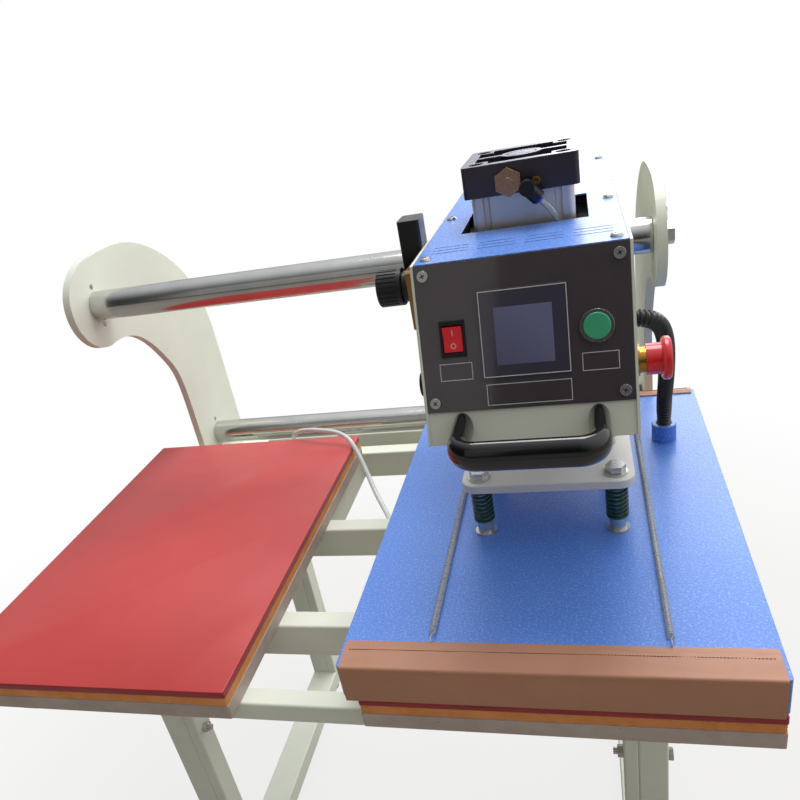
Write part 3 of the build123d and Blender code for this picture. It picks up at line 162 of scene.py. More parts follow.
def spline(route, step=0.0015):
    """Points along a smooth curve of quadratic pieces that leaves and meets the route's ends."""
    points = [Vector(p) for p in route]
    corners = [points[0]] + [(a + b) / 2 for a, b in zip(points[1:-1], points[2:-1])] + [points[-1]]
    line = [points[0]]
    for start, control, end in zip(corners, points[1:-1], corners[1:]):
        span = (control - start).length + (end - control).length
        count = max(3, round(span / step))
        for i in range(1, count + 1):
            t = i / count
            line.append(start * (1 - t) ** 2 + control * 2 * t * (1 - t) + end * t * t)
    return line


def headings(line):
    found = []
    for i, _ in enumerate(line):
        found.append((line[min(i + 1, len(line) - 1)] - line[max(i - 1, 0)]).normalized())
    return found


def tube_rings(line, radius, sides, side=None):
    """Rings square to a line. Radius is a number, or a function of the length travelled."""
    aims = headings(line)
    across = aims[0].orthogonal().normalized() if side is None else Vector(side)
    rings = []
    travelled = 0.0
    for i, (place, aim) in enumerate(zip(line, aims)):
        if i:
            travelled += (place - line[i - 1]).length
        across = (across - aim * across.dot(aim)).normalized()
        up = aim.cross(across)
        size = radius(travelled) if callable(radius) else radius
        turns = [2 * math.pi * k / sides for k in range(sides)]
        rings.append([place + (across * math.cos(turn) + up * math.sin(turn)) * size for turn in turns])
    return rings


def length_of(line):
    return sum((b - a).length for a, b in zip(line, line[1:]))


def rounded_outline(centre, size, corner, spacing):
    """Points round a rectangle with rounded corners."""
    half_x, half_y = size[0] / 2 - corner, size[1] / 2 - corner
    middles = ((half_x, -half_y, -90), (half_x, half_y, 0), (-half_x, half_y, 90), (-half_x, -half_y, 180))
    points = []
    for k, (x, y, start) in enumerate(middles):
        for i in range(7):
            turn = math.radians(start + 15 * i)
            points.append(Vector((x + corner * math.cos(turn), y + corner * math.sin(turn), 0)))
        nx, ny, first = middles[(k + 1) % 4]
        turn = math.radians(first)
        target = Vector((nx + corner * math.cos(turn), ny + corner * math.sin(turn), 0))
        here = points[-1]
        count = max(1, round((target - here).length / spacing))
        points += [here.lerp(target, i / count) for i in range(1, count)]
    return [Vector((p.x + centre[0], p.y + centre[1], 0)) for p in points]


def slab(name, centre, size, levels, material, rough, grain, spacing=6 * MM):
    """A slab of stacked outlines at (height, inset), with an uneven edge where it was cut."""
    parts = Parts()
    rings = []
    for z, inset in levels:
        ring = []
        outline = rounded_outline(centre, (size[0] - 2 * inset, size[1] - 2 * inset), PAD_CORNER, spacing)
        for p in outline:
            away = Vector((p.x - centre[0], p.y - centre[1], 0)).normalized()
            at = Vector((p.x, p.y, z)) * grain
            ring.append(Vector((p.x, p.y, z)) - away * rough * (0.5 + 0.5 * noise.noise(at)))
        rings.append(ring)
    least = min(len(ring) for ring in rings)
    rings = [ring[:least] for ring in rings]
    parts.rings(rings)
    return parts.build(name, material, 40.0)


# Materials

def linear(code):
    """A colour written as six hex digits, in linear light."""
    parts = [int(code[i:i + 2], 16) / 255 for i in (0, 2, 4)]
    return tuple(c / 12.92 if c <= 0.04045 else ((c + 0.055) / 1.055) ** 2.4 for c in parts) + (1.0,)


def shade(colour, factor):
    return tuple(min(1.0, c * factor) for c in colour[:3]) + (1.0,)


class Shader:
    """A material's nodes, with short calls for those used here."""

    def __init__(self, name, **surface):
        self.material = bpy.data.materials.new(name)
        self.material.use_nodes = True
        self.tree = self.material.node_tree
        self.tree.nodes.clear()
        self.surface = self.add("BsdfPrincipled")
        output = self.add("OutputMaterial")
        self.tree.links.new(self.surface.outputs[0], output.inputs["Surface"])
        self.place = self.add("TexCoord").outputs["Object"]
        self.paint(**surface)

    def paint(self, **surface):
        for name, value in surface.items():
            self.set(self.surface, name.replace("_", " "), value)
        return self

    def add(self, kind, **inputs):
        node = self.tree.nodes.new("ShaderNode" + kind)
        for name, value in inputs.items():
            self.set(node, name.replace("_", " "), value)
        return node

    def set(self, node, name, value):
        socket = node.inputs[name]
        if isinstance(value, bpy.types.NodeSocket):
            self.tree.links.new(value, socket)
        else:
            socket.default_value = value

    def stretched(self, scale):
        return self.add("Mapping", Vector=self.place, Scale=scale).outputs[0]

    def noise(self, scale, detail=3.0, roughness=0.55, vector=None):
        node = self.add(
            "TexNoise", Vector=vector or self.place, Scale=scale, Detail=detail, Roughness=roughness,
        )
        return node.outputs[0]

    def cells(self, scale):
        return self.add("TexVoronoi", Vector=self.place, Scale=scale).outputs["Distance"]

    def remap(self, value, low, high, to_low=0.0, to_high=1.0):
        node = self.add("MapRange", Value=value)
        for name, number in zip(("From Min", "From Max", "To Min", "To Max"), (low, high, to_low, to_high)):
            self.set(node, name, number)
        return node.outputs[0]

    def math(self, operation, first, second=0.0):
        node = self.add("Math")
        node.operation = operation
        self.set(node, 0, first)
        self.set(node, 1, second)
        return node.outputs[0]

    def mix(self, share, first, second):
        node = self.add("Mix")
        node.data_type = "RGBA"
        for index, value in ((0, share), (6, first), (7, second)):
            self.set(node, index, value)
        return node.outputs[2]

    def axes(self, vector=None):
        """The X, Y and Z of a vector, or of the place on the object."""
        return self.add("SeparateXYZ", Vector=vector or self.place).outputs

    def normal(self):
        return self.add("NewGeometry").outputs["Normal"]

    def rounded(self, radius):
        node = self.add("Bevel", Radius=radius)
        node.samples = 4
        return node.outputs[0]

    def edges(self, rounded):
        """1 along edges and 0 on flats."""
        node = self.add("VectorMath")
        node.operation = "DOT_PRODUCT"
        self.set(node, 0, rounded)
        self.set(node, 1, self.normal())
        return self.remap(node.outputs["Value"], 0.985, 0.84)

    def bump(self, *layers, normal=None):
        """Layers are (height, depth in metres), from the coarsest to the finest."""
        for height, distance in layers:
            node = self.add("Bump", Height=height, Distance=distance)
            if normal is not None:
                self.set(node, "Normal", normal)
            normal = node.outputs[0]
        self.set(self.surface, "Normal", normal)
        return self


def painted(name, colour, roughness=0.42, grain=1100.0, peel=0.00006, wear="B9BAB4", edge=0.0009, coat=0.0):
    """Powder coat: orange peel, faint dirt, and thin paint along the edges."""
    s = Shader(name, Coat_Weight=coat, Coat_Roughness=0.12)
    base = linear(colour)
    rounded = s.rounded(edge)
    worn = s.math("MULTIPLY", s.edges(rounded), s.remap(s.noise(240.0, 4.0), 0.52, 0.66))
    clouds = s.noise(7.0, 5.0, 0.6)
    tone = s.mix(s.remap(clouds, 0.3, 0.7), shade(base, 0.93), shade(base, 1.03))
    specks = s.remap(s.noise(420.0, 2.0), 0.70, 0.78)
    tone = s.mix(s.math("MULTIPLY", specks, 0.25), tone, shade(base, 0.72))
    s.paint(Base_Color=s.mix(s.math("MULTIPLY", worn, 0.55), tone, linear(wear)))
    s.paint(Roughness=s.remap(s.noise(35.0, 4.0), 0.3, 0.7, roughness - 0.05, roughness + 0.08))
    s.bump((s.noise(grain * 0.35, 2.0), peel), (s.noise(grain, 2.0), peel * 0.5), normal=rounded)
    return s.material


def hammered_blue(name):
    """The blue textured coat: small raised beads of paint over an even ground, with painted shade in the
    dips between the beads and painted highlights on their crests.
    """
    s = Shader(name, Coat_Weight=0.25, Coat_Roughness=0.2)
    rounded = s.rounded(0.0012)
    clouds = s.remap(s.noise(5.0, 4.0), 0.3, 0.7)
    beads = s.noise(430.0, 2.0, 0.55)
    tone = s.mix(clouds, linear("4E80D8"), linear("5C8CE2"))
    # Painted shade in the dips between the beads, then painted pale-blue glints on their crests.
    tone = s.mix(s.remap(beads, 0.48, 0.36, 0.0, 0.22), tone, linear("3A68C4"))
    tone = s.mix(s.remap(beads, 0.53, 0.66, 0.0, 0.42), tone, linear("A2C0F2"))
    worn = s.math("MULTIPLY", s.edges(rounded), s.remap(s.noise(160.0, 4.0), 0.50, 0.62))
    s.paint(Base_Color=s.mix(s.math("MULTIPLY", worn, 0.6), tone, linear("A9BFE6")))
    s.paint(Roughness=s.remap(beads, 0.35, 0.65, 0.42, 0.30))
    s.bump((s.noise(150.0, 2.0), 0.00018), (beads, 0.00034), normal=rounded)
    return s.material


def metal(name, colour, roughness, streaks=None, spread=0.08, depth=0.000004, edge=0.0006, wear=None,
          metallic=1.0):
    """Bare or plated metal with machining lines or a fine cloudy surface."""
    s = Shader(name, Metallic=metallic)
    base = linear(colour)
    rounded = s.rounded(edge)
    lines = s.noise(1.0, 4.0, 0.6, vector=s.stretched(streaks)) if streaks else s.noise(600.0, 4.0)
    clouds = s.remap(s.noise(18.0, 4.0), 0.3, 0.7)
    tone = s.mix(clouds, shade(base, 0.9), shade(base, 1.04))
    if wear:
        worn = s.math("MULTIPLY", s.edges(rounded), s.remap(s.noise(200.0, 4.0), 0.40, 0.60))
        tone = s.mix(worn, tone, linear(wear))
    s.paint(Base_Color=tone, Roughness=s.remap(lines, 0.3, 0.7, roughness - spread, roughness + spread))
    s.bump((lines, depth), normal=rounded)
    return s.material


def plastic(name, colour, roughness=0.3, grain=900.0, depth=0.00002, coat=0.0, edge=0.0005):
    s = Shader(name, Coat_Weight=coat, Coat_Roughness=0.08)
    base = linear(colour)
    clouds = s.remap(s.noise(30.0, 4.0), 0.3, 0.7)
    s.paint(Base_Color=s.mix(clouds, shade(base, 0.92), shade(base, 1.06)))
    s.paint(Roughness=s.remap(s.noise(55.0, 5.0), 0.3, 0.7, roughness - 0.05, roughness + 0.07))
    s.bump((s.noise(grain, 3.0), depth), normal=s.rounded(edge))
    return s.material


def silicone_material():
    s = Shader("red_silicone", Sheen_Weight=0.15, Sheen_Roughness=0.5)
    up = s.axes(s.normal())[2]
    clouds = s.noise(3.5, 5.0, 0.6)
    dust = s.noise(900.0, 3.0)
    top = s.mix(s.remap(clouds, 0.3, 0.7), linear("B4302E"), linear("C23C38"))
    top = s.mix(s.remap(dust, 0.60, 0.75, 0.0, 0.22), top, linear("D87870"))
    # Faces that do not look up get a darker red: painted shade on the pad's cut sides, with streaks along
    # them.
    streaks = s.noise(1.0, 4.0, 0.6, vector=s.stretched((14.0, 420.0, 300.0)))
    side = s.mix(s.remap(streaks, 0.35, 0.65), linear("8C181E"), linear("A62228"))
    s.paint(Base_Color=s.mix(s.remap(up, 0.55, 0.9), side, top))
    s.paint(Roughness=s.remap(s.noise(12.0, 5.0), 0.3, 0.7, 0.46, 0.60))
    s.bump((s.noise(14.0, 3.0), 0.0003), (dust, 0.00005))
    return s.material


def sponge_material():
    s = Shader("orange_sponge", Roughness=0.92)
    pores = s.cells(700.0)
    fine = s.noise(1600.0, 3.0)
    tone = s.mix(s.remap(s.noise(40.0, 5.0), 0.3, 0.7), linear("DC8A48"), linear("EA9E60"))
    # Painted shade in the pores, darkest towards their middles.
    tone = s.mix(s.remap(pores, 0.20, 0.02, 0.0, 0.7), tone, linear("9A5A28"))
    s.paint(Base_Color=tone)
    s.bump((s.remap(pores, 0.0, 0.4), 0.0003), (fine, 0.0001))
    return s.material


def casting_material():
    """Sand-cast aluminium, as it came from the mould, with pits."""
    s = Shader("cast_aluminium", Metallic=0.35)
    rounded = s.rounded(0.0015)
    pits = s.math("MULTIPLY", s.remap(s.cells(150.0), 0.16, 0.05), s.remap(s.noise(22.0, 3.0), 0.50, 0.62))
    grit = s.noise(850.0, 5.0, 0.65)
    tone = s.mix(s.remap(s.noise(16.0, 6.0, 0.65), 0.3, 0.7), linear("A8978D"), linear("C8B8AD"))
    tone = s.mix(s.remap(grit, 0.35, 0.65, 0.0, 0.3), tone, linear("D6CAC0"))
    tone = s.mix(s.math("MULTIPLY", pits, 0.75), tone, linear("55504C"))
    s.paint(Base_Color=tone, Roughness=s.remap(grit, 0.3, 0.7, 0.52, 0.72))
    s.bump((s.noise(90.0, 4.0), 0.0003), (grit, 0.00012), (s.math("MULTIPLY", pits, -1.0), 0.0008),
           normal=rounded)
    return s.material


def cloth_material():
    """Glass cloth coated with brown PTFE: a fine plain weave under a waxy film."""
    s = Shader("ptfe_cloth", Coat_Weight=0.15, Coat_Roughness=0.4)
    x, y, z = s.axes()
    across = s.math("SINE", s.math("MULTIPLY", x, 2 * math.pi / 0.0007))
    along = s.math("SINE", s.math("MULTIPLY", s.math("ADD", y, z), 2 * math.pi / 0.0007))
    weave = s.remap(s.math("MULTIPLY", across, along), -1.0, 1.0)
    clouds = s.noise(5.0, 3.0, 0.5)
    tone = s.mix(s.remap(clouds, 0.3, 0.7), linear("B27A5C"), linear("BE8869"))
    tone = s.mix(s.math("MULTIPLY", weave, 0.16), tone, linear("8A5A45"))
    stains = s.remap(s.noise(16.0, 4.0, 0.6), 0.60, 0.78, 0.0, 0.22)
    s.paint(Base_Color=s.mix(stains, tone, linear("91604E")))
    s.paint(Roughness=s.remap(clouds, 0.3, 0.7, 0.42, 0.54))
    s.bump((s.noise(24.0, 2.0), 0.0002), (weave, 0.00004))
    return s.material


def hose_material(name, colour, transmission, roughness):
    s = Shader(name, Transmission_Weight=transmission, IOR=1.46)
    base = linear(colour)
    s.paint(Base_Color=s.mix(s.remap(s.noise(45.0, 4.0), 0.3, 0.7), shade(base, 0.96), base))
    s.paint(Roughness=s.remap(s.noise(90.0, 4.0), 0.3, 0.7, roughness, roughness + 0.08))
    s.bump((s.noise(160.0, 3.0), 0.00008))
    return s.material


def screen_material():
    """The lit face of the display: a plain dim grey-blue field."""
    s = Shader("screen_glow", Roughness=0.12, Emission_Strength=0.35)
    x, _, z = s.axes()
    fade = s.remap(s.math("ADD", z, x), 1.378, 1.448)
    tone = s.mix(fade, linear("454559"), linear("565770"))
    rows = s.math("SINE", s.math("MULTIPLY", z, 2 * math.pi / 0.0006))
    tone = s.mix(s.remap(rows, -1.0, 1.0, 0.0, 0.08), tone, linear("34354A"))
    s.paint(Base_Color=tone, Emission_Color=tone)
    return s.material


def handle_material():
    """Gloss black plastic with the mould's seam along its middle."""
    s = Shader("black_handle", Coat_Weight=0.5, Coat_Roughness=0.05)
    z = s.axes()[2]
    seam = s.remap(s.math("ABSOLUTE", s.math("SUBTRACT", z, 1.075)), 0.0, 0.0005, 1.0, 0.0)
    s.paint(Base_Color=s.mix(s.remap(s.noise(40.0), 0.3, 0.7), linear("080809"), linear("101011")))
    s.paint(Roughness=s.remap(s.noise(70.0, 5.0), 0.3, 0.7, 0.10, 0.22))
    s.bump((seam, 0.00015), (s.noise(220.0, 3.0), 0.00003))
    return s.material


def insulation_material():
    s = Shader("insulation", Roughness=0.95)
    fibres = s.noise(1.0, 5.0, 0.7, vector=s.stretched((900.0, 90.0, 400.0)))
    s.paint(Base_Color=s.mix(s.remap(fibres, 0.3, 0.7), linear("CFC8B4"), linear("EAE6D8")))
    s.bump((fibres, 0.0004))
    return s.material


CREAM = painted("cream_paint", "E4E7D6")
PALE = painted("pale_paint", "E3E1DA")
BLUE = hammered_blue("blue_paint")
GREEN = painted("green_paint", "124A35", 0.30, 700.0, 0.00003, wear="3E6A57", coat=0.4)
CHROME = metal("hard_chrome", "C9C9C6", 0.16, streaks=(2600.0, 30.0, 30.0), spread=0.06, depth=0.000003)
ROD_CHROME = metal("rod_chrome", "C9C9C6", 0.14, streaks=(30.0, 30.0, 2600.0), spread=0.05, depth=0.000003)
ZINC = metal("zinc_steel", "CFCECA", 0.24, spread=0.04, depth=0.000001, metallic=0.85)
SPRING_ZINC = metal("spring_zinc", "CFCFCB", 0.30, depth=0.000001, edge=0.0001, metallic=0.5)
BARREL = metal("clear_anodised", "F0E6DC", 0.46, streaks=(1500.0, 1500.0, 4.0), depth=0.000008)
BRONZE = metal("bronze", "A27C48", 0.32, streaks=(900.0, 40.0, 40.0))
GOLD = metal("gold_metal", "B98A3C", 0.26, depth=0.00001)
PLATED = metal("copper_plate", "C4A08A", 0.28, depth=0.000005, wear="EADCD2")
MACHINED = metal("machined_cap", "8E8F98", 0.34, streaks=(40.0, 1400.0, 40.0), depth=0.000006)
BRASS = metal("brass_casting", "A9864E", 0.38, depth=0.00006, wear="D9BC86")
CAP = metal("black_anodised", "5A545C", 0.36, depth=0.00001, edge=0.0010, wear="B9BBC2")
CASTING = casting_material()
SILICONE = silicone_material()
SPONGE = sponge_material()
CLOTH = cloth_material()
PANEL = plastic("panel_gloss", "4C4549", 0.07, 60.0, 0.00002, coat=1.0)
GLASS = plastic("screen_gloss", "45414F", 0.05, 40.0, 0.00001, coat=1.0)
GLOW = screen_material()
BLACK = plastic("black_plastic", "121214", 0.34, 1400.0, 0.00003)
HANDLE = handle_material()
RUBBER = plastic("black_rubber", "161616", 0.62, 800.0, 0.00008)
CONDUIT = plastic("conduit_black", "242427", 0.36, 500.0, 0.00002, coat=0.3)
BLUE_PLASTIC = plastic("blue_plastic", "3443C4", 0.25, coat=0.4)
RED = plastic("red_plastic", "DC1C28", 0.26, 500.0, 0.00002, coat=0.4)
RED_LIT = plastic("red_rocker", "FF1C2C", 0.30, 400.0, 0.00001, coat=0.3)
GREEN_BUTTON = plastic("green_plastic", "48B284", 0.24, 500.0, 0.00002, coat=0.5)
BOARD = plastic("board_green", "1B6B3C", 0.35, 700.0, 0.00005, coat=0.3)
INSULATION = insulation_material()
INK = plastic("white_ink", "D9D9D4", 0.45, 900.0, 0.00001)
# Black for the screws' cross recesses: painted shade.
RECESS_SHADE = plastic("painted_recess_shade", "0A0A0A", 0.6, 900.0, 0.00002)
THREAD = plastic("brown_thread", "3E2118", 0.8, 3000.0, 0.00004)
HOSE = hose_material("white_hose", "E6EAE8", 0.25, 0.18)
CLEAR = hose_material("clear_hose", "F2F5F5", 0.85, 0.06)

FINISHES = {
    CREAM: (
        "front_rail", "cross_rails", "table_tubes", "side_beams", "back_rail", "front_legs", "rear_legs",
        "floor_beams", "left_side_plate", "right_side_plate", "carriage_plate", "bearing_housing",
        "guide_tube", "rear_arm", "head_shell",
    ),
    PALE: ("press_plate",),
    BLUE: ("head_cover", "platen_cover", "conduit_gland"),
    CHROME: ("upper_shaft", "lower_shaft", "button_ring"),
    ROD_CHROME: ("piston", "guide_rods"),
    ZINC: ("frame_bolts", "head_fasteners", "spring_bolts", "hose_mounts", "hose_port"),
    BRONZE: ("bushes",),
    GOLD: ("estop_collar",),
    BRASS: ("air_valve",),
    BARREL: ("cylinder_barrel",),
    CAP: ("cylinder_caps",),
    CASTING: ("table_plates", "heater_plate"),
    PANEL: ("control_panel",),
    GLASS: ("touch_screen",),
    BLACK: (
        "switch_bezel", "regulator_body", "regulator_knob", "buzzer", "cylinder_fittings", "estop_plunger",
    ),
    HANDLE: ("front_handle",),
    RUBBER: ("rubber_feet", "stop_buffers"),
    RED: ("estop_mushroom",),
    RED_LIT: ("power_rocker",),
    GREEN_BUTTON: ("start_button",),
    BOARD: ("control_board",),
    INSULATION: ("insulation_board",),
}
for finish, names in FINISHES.items():
    for node in names:
        NODES[node].data.materials.clear()
        NODES[node].data.materials.append(finish)


def split_finish(node, finish, test):
    """Gives a node's faces a second finish where a test of their middle holds."""
    mesh = NODES[node].data
    mesh.materials.append(finish)
    for face in mesh.polygons:
        if test(face.center):
            face.material_index = len(mesh.materials) - 1


PLUG = (0.259, 1.264)
CAP_SCREW = (0.2855, 1.261)
CAP_SUMMIT = 1.2815


def near(face, place, radius, back):
    """Whether a face of the cap's fittings lies round a place, behind a depth."""
    return math.dist((face.x, face.z), place) < radius and face.y > back


split_finish("air_valve", BLACK, lambda c: c.y > -0.2035 or (c.y > -0.2041 and c.z > 1.195))
split_finish("cylinder_fittings", PLATED, lambda c: near(c, PLUG, 0.0142, -0.1668))
split_finish("cylinder_fittings", BRASS, lambda c: near(c, CAP_SCREW, 0.0041, -0.1592))
split_finish("cylinder_caps", MACHINED, lambda c: c.z > CAP_SUMMIT)

# Table pads: a silicone sheet on sponge
PAD = (0.400, 0.600)
PAD_Y = -0.104


def pads():
    for side, x in (("left", -0.277), ("right", 0.277)):
        top = [(0.8110, 0.0006), (0.8113, 0.0001), (0.8118, 0.0), (0.8150, 0.0001), (0.8190, 0.0001)]
        top += [(0.8196, 0.0003), (0.8200, 0.0009)]
        sheet = slab(f"silicone_{side}", (x, PAD_Y), PAD, top, SILICONE, rough=0.0003, grain=120.0)
        low = [(0.7990, 0.0012), (0.7994, 0.0004), (0.8008, 0.0006), (0.8025, 0.0002), (0.8045, 0.0007)]
        low += [(0.8062, 0.0003), (0.8080, 0.0008), (0.8096, 0.0004), (0.8109, 0.0010)]
        foam = slab(
            f"sponge_{side}", (x, PAD_Y), PAD, low, SPONGE, spacing=2.4 * MM, rough=0.0011, grain=420.0,
        )
        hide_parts("silicone_pads")
        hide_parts("sponge_layers")
        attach(sheet, "frame")
        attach(foam, "frame")


pads()

# The platen's release sheet
HEAD_X = 0.270
COVER_TOP = 0.865
SHEET_HALF = 0.203
FRONT, BACK = -0.404, 0.196
# How far the sheet laps over the cover at the front and at the back
LAPS = {-1: 0.036, 1: 0.016}
CLOTH_THICK = 0.0004


def sheet_profile():
    """The sheet's line in Y and Z, from the front hem round under the heater to the back hem."""
    def end(edge, way):
        # way is -1 at the front and 1 at the back
        out = edge + way * 0.0030
        lap = LAPS[way]
        line = [(edge - way * lap, COVER_TOP + 0.0007)]
        for i in range(1, 15):
            t = i / 14
            y = edge - way * lap + way * (lap + 0.0006) * t
            rise = 0.0007 + 0.0016 * math.sin(math.pi * min(1.0, t * 1.1)) + 0.0006 * t
            line.append((y, COVER_TOP + rise))
        for i in range(1, 7):
            turn = math.radians(15 * i)
            drop = 0.0024 * (1 - math.cos(turn))
            line.append((out - way * 0.0024 * (1 - math.sin(turn)), COVER_TOP + 0.0013 - drop))
        for i in range(1, 16):
            t = i / 16
            line.append((out + way * 0.0012 * math.sin(math.pi * t), COVER_TOP - 0.0011 - 0.0412 * t))
        for i in range(0, 7):
            turn = math.radians(15 * i)
            line.append((out - way * 0.0022 * (1 - math.cos(turn)), 0.8227 - 0.0021 * math.sin(turn)))
        return line

    front = end(FRONT, -1)
    back = end(BACK, 1)[::-1]
    count = 60
    low = [(FRONT + (BACK - FRONT) * i / count, 0.8206) for i in range(1, count)]
    return front + low + back


def release_sheet():
    profile = sheet_profile()
    columns = 150
    parts = Parts()
    outer, inner = [], []
    total = len(profile)
    for i, (y, z) in enumerate(profile):
        before, after = profile[max(i - 1, 0)], profile[min(i + 1, total - 1)]
        dy, dz = after[0] - before[0], after[1] - before[1]
        size = math.hypot(dy, dz)
        away = Vector((0, dz / size, -dy / size))
        free = z > 0.8212
        upright = free and z < COVER_TOP - 0.002
        for k in range(columns + 1):
            u = k / columns
            x = HEAD_X - SHEET_HALF + 2 * SHEET_HALF * u
            p = Vector((x, y, z))
            crease = noise.noise(Vector((x * 22, y * 60, z * 60))) * 0.0007
            crease += noise.noise(Vector((x * 75, y * 30, z * 30))) * 0.00035
            if z > COVER_TOP:
                crease = max(crease, -0.0004)
            bow = 0.0010 * math.sin(math.pi * u) if upright else 0.0
            if free:
                p -= away * (crease + bow)
            outer.append(p)
            inner.append(p + away * CLOTH_THICK)
    width = columns + 1
    count = len(outer)
    faces = []
    for i in range(total - 1):
        for k in range(columns):
            a = i * width + k
            faces.append((a, a + 1, a + width + 1, a + width))
            faces.append((count + a, count + a + width, count + a + width + 1, count + a + 1))
    for i in range(total - 1):
        for k in (0, columns):
            a = i * width + k
            faces.append((a, a + width, count + a + width, count + a))
    for k in range(columns):
        for row in (0, total - 1):
            a = row * width + k
            faces.append((a, a + 1, count + a + 1, count + a))
    parts.add(outer + inner, faces)
    made = parts.build("release_sheet", CLOTH, 60.0)
    length = sum(math.dist(a, b) for a, b in zip(profile, profile[1:]))
    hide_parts("teflon_sheet")
    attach(made, "platen")
    return made, length


HEM_WIDTH = 0.0125
STITCHES = 128
STITCH_PITCH = 0.00309
STITCH_RADIUS = 0.00045


def hems():
    """The second layer of each hem, and the row of stitches that holds it."""
    hem, seam = Parts(), Parts()
    for edge, way in ((FRONT, -1), (BACK, 1)):
        start, stop = edge - way * LAPS[way], edge - way * (LAPS[way] - HEM_WIDTH)
        rings = []
        for k in range(141):
            x = HEAD_X - SHEET_HALF + 0.0015 + (2 * SHEET_HALF - 0.003) * k / 140
            lift = 0.0004 * noise.noise(Vector((x * 60, way, 0)))
            wave = 0.0003 * noise.noise(Vector((x * 90, way, 5)))
            ring = []
            for j in range(13):
                t = j / 12
                crown = math.sin(math.pi * t) ** 0.5 * 0.0011
                y = start + (stop - start) * t + wave
                ring.append(Vector((x, y, COVER_TOP + 0.0015 + crown + lift * math.sin(math.pi * t))))
            for j in range(12, -1, -1):
                t = j / 12
                y = start + (stop - start) * t + wave
                ring.append(Vector((x, y, COVER_TOP + 0.0009)))
            rings.append(ring)
        hem.rings(rings)
        for k in range(STITCHES):
            x = HEAD_X - SHEET_HALF + 0.006 + k * STITCH_PITCH
            y = stop - way * -0.0016
            line = []
            for step in range(5):
                rise = 0.0026 + 0.00035 * math.sin(math.pi * step / 4)
                line.append(Vector((x + 0.0005 * step, y, COVER_TOP + rise)))
            seam.rings(tube_rings(line, STITCH_RADIUS, 6))
    band = hem.build("sheet_hems", CLOTH, 60.0)
    row = seam.build("hem_stitches", THREAD, 60.0)
    for made in (band, row):
        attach(made, "platen")
    return band, row


cloth, cloth_length = release_sheet()
hems()


# Springs

def helix(base, axis, radius, turns, steps, height, start=0.0):
    """Points of a coil round an axis; height gives the rise at a share of the coil."""
    axis = Vector(axis)
    side = axis.orthogonal().normalized()
    other = axis.cross(side)
    line = []
    for i in range(round(turns * steps) + 1):
        share = i / (turns * steps)
        turn = 2 * math.pi * (share * turns + start)
        spot = side * math.cos(turn) + other * math.sin(turn)
        line.append(Vector(base) + spot * radius + axis * height(share))
    return line


DIE_SPRINGS_X = (-0.077, 0.077)
DIE_SPRINGS_Y = (-0.068, 0.068)
DIE_SPRING_COIL = 0.0108
STRETCH_SPRING_X = 0.114
STRETCH_SPRING_TURNS = 210
HOOK_ROOM = 0.010


def die_springs():
    """Four compression springs of flat wire with closed ends."""
    parts = Parts()
    low, high = 0.8821, 0.9299
    wire_in, wire_up = 0.0040, 0.0029
    turns = 9.0
    for x in DIE_SPRINGS_X:
        for y in DIE_SPRINGS_Y:
            def height(share):
                flat = 0.85 / turns
                rise = min(max((share - flat) / (1 - 2 * flat), 0.0), 1.0)
                closed = min(share / flat, 1.0) * 0.0020 + max((share - 1 + flat) / flat, 0.0) * 0.0020
                return 0.0012 + closed + rise * (high - low - 0.0024 - 0.0040)

            line = helix((HEAD_X + x, PAD_Y + y, low), (0, 0, 1), DIE_SPRING_COIL, turns, 28, height)
            centre = Vector((HEAD_X + x, PAD_Y + y, 0))
            rings = []
            for p in line:
                away = (Vector((p.x, p.y, 0)) - centre).normalized()
                ring = []
                for k in range(12):
                    turn = 2 * math.pi * k / 12
                    c, s = math.cos(turn), math.sin(turn)
                    reach = (abs(c) ** 4 + abs(s) ** 4) ** -0.25
                    ring.append(p + away * c * reach * wire_in / 2 + Vector((0, 0, s * reach * wire_up / 2)))
                rings.append(ring)
            parts.rings(rings)
    made = parts.build("die_springs_wound", GREEN, 50.0)
    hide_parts("die_springs")
    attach(made, "press_head")
    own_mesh(made)


def stretch_springs():
    """Two long extension springs across the cover, hooked into the hems."""
    parts = Parts()
    wire, radius = 0.00055, 0.0032
    start, stop = FRONT + LAPS[-1] + HOOK_ROOM, BACK - LAPS[1] - HOOK_ROOM
    z = COVER_TOP + radius + wire + 0.0003
    for side in (-1, 1):
        x = HEAD_X + side * STRETCH_SPRING_X
        turns = STRETCH_SPRING_TURNS
        coil = helix((x, start, z), (0, 1, 0), radius, turns, 14, lambda share: share * (stop - start))
        first, last = coil[0], coil[-1]

        def hook(anchor, coil_end, way):
            """From the coil's end in to the axis, out along it, and round a loop."""
            axis = Vector((x, coil_end.y, z))
            line = []
            for t in (0.25, 0.5, 0.75, 1.0):
                line.append(axis + (coil_end - axis) * (1 - t) + Vector((0, way * 0.0030 * t, 0)))
            loop_centre = Vector((x, anchor, z))
            for i in range(13):
                turn = math.radians(25 * i)
                spoke = Vector((0, -way * 0.0030 * math.cos(turn), 0.0027 * math.sin(turn)))
                line.append(loop_centre + spoke)
            return line

        front_hook = hook(start - 0.0085, first, -1)
        back_hook = hook(stop + 0.0085, last, 1)
        parts.rings(tube_rings(front_hook[::-1] + coil + back_hook, wire, 6))
    made = parts.build("stretch_springs_wound", SPRING_ZINC, 70.0)
    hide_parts("stretch_springs")
    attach(made, "platen")


die_springs()
stretch_springs()

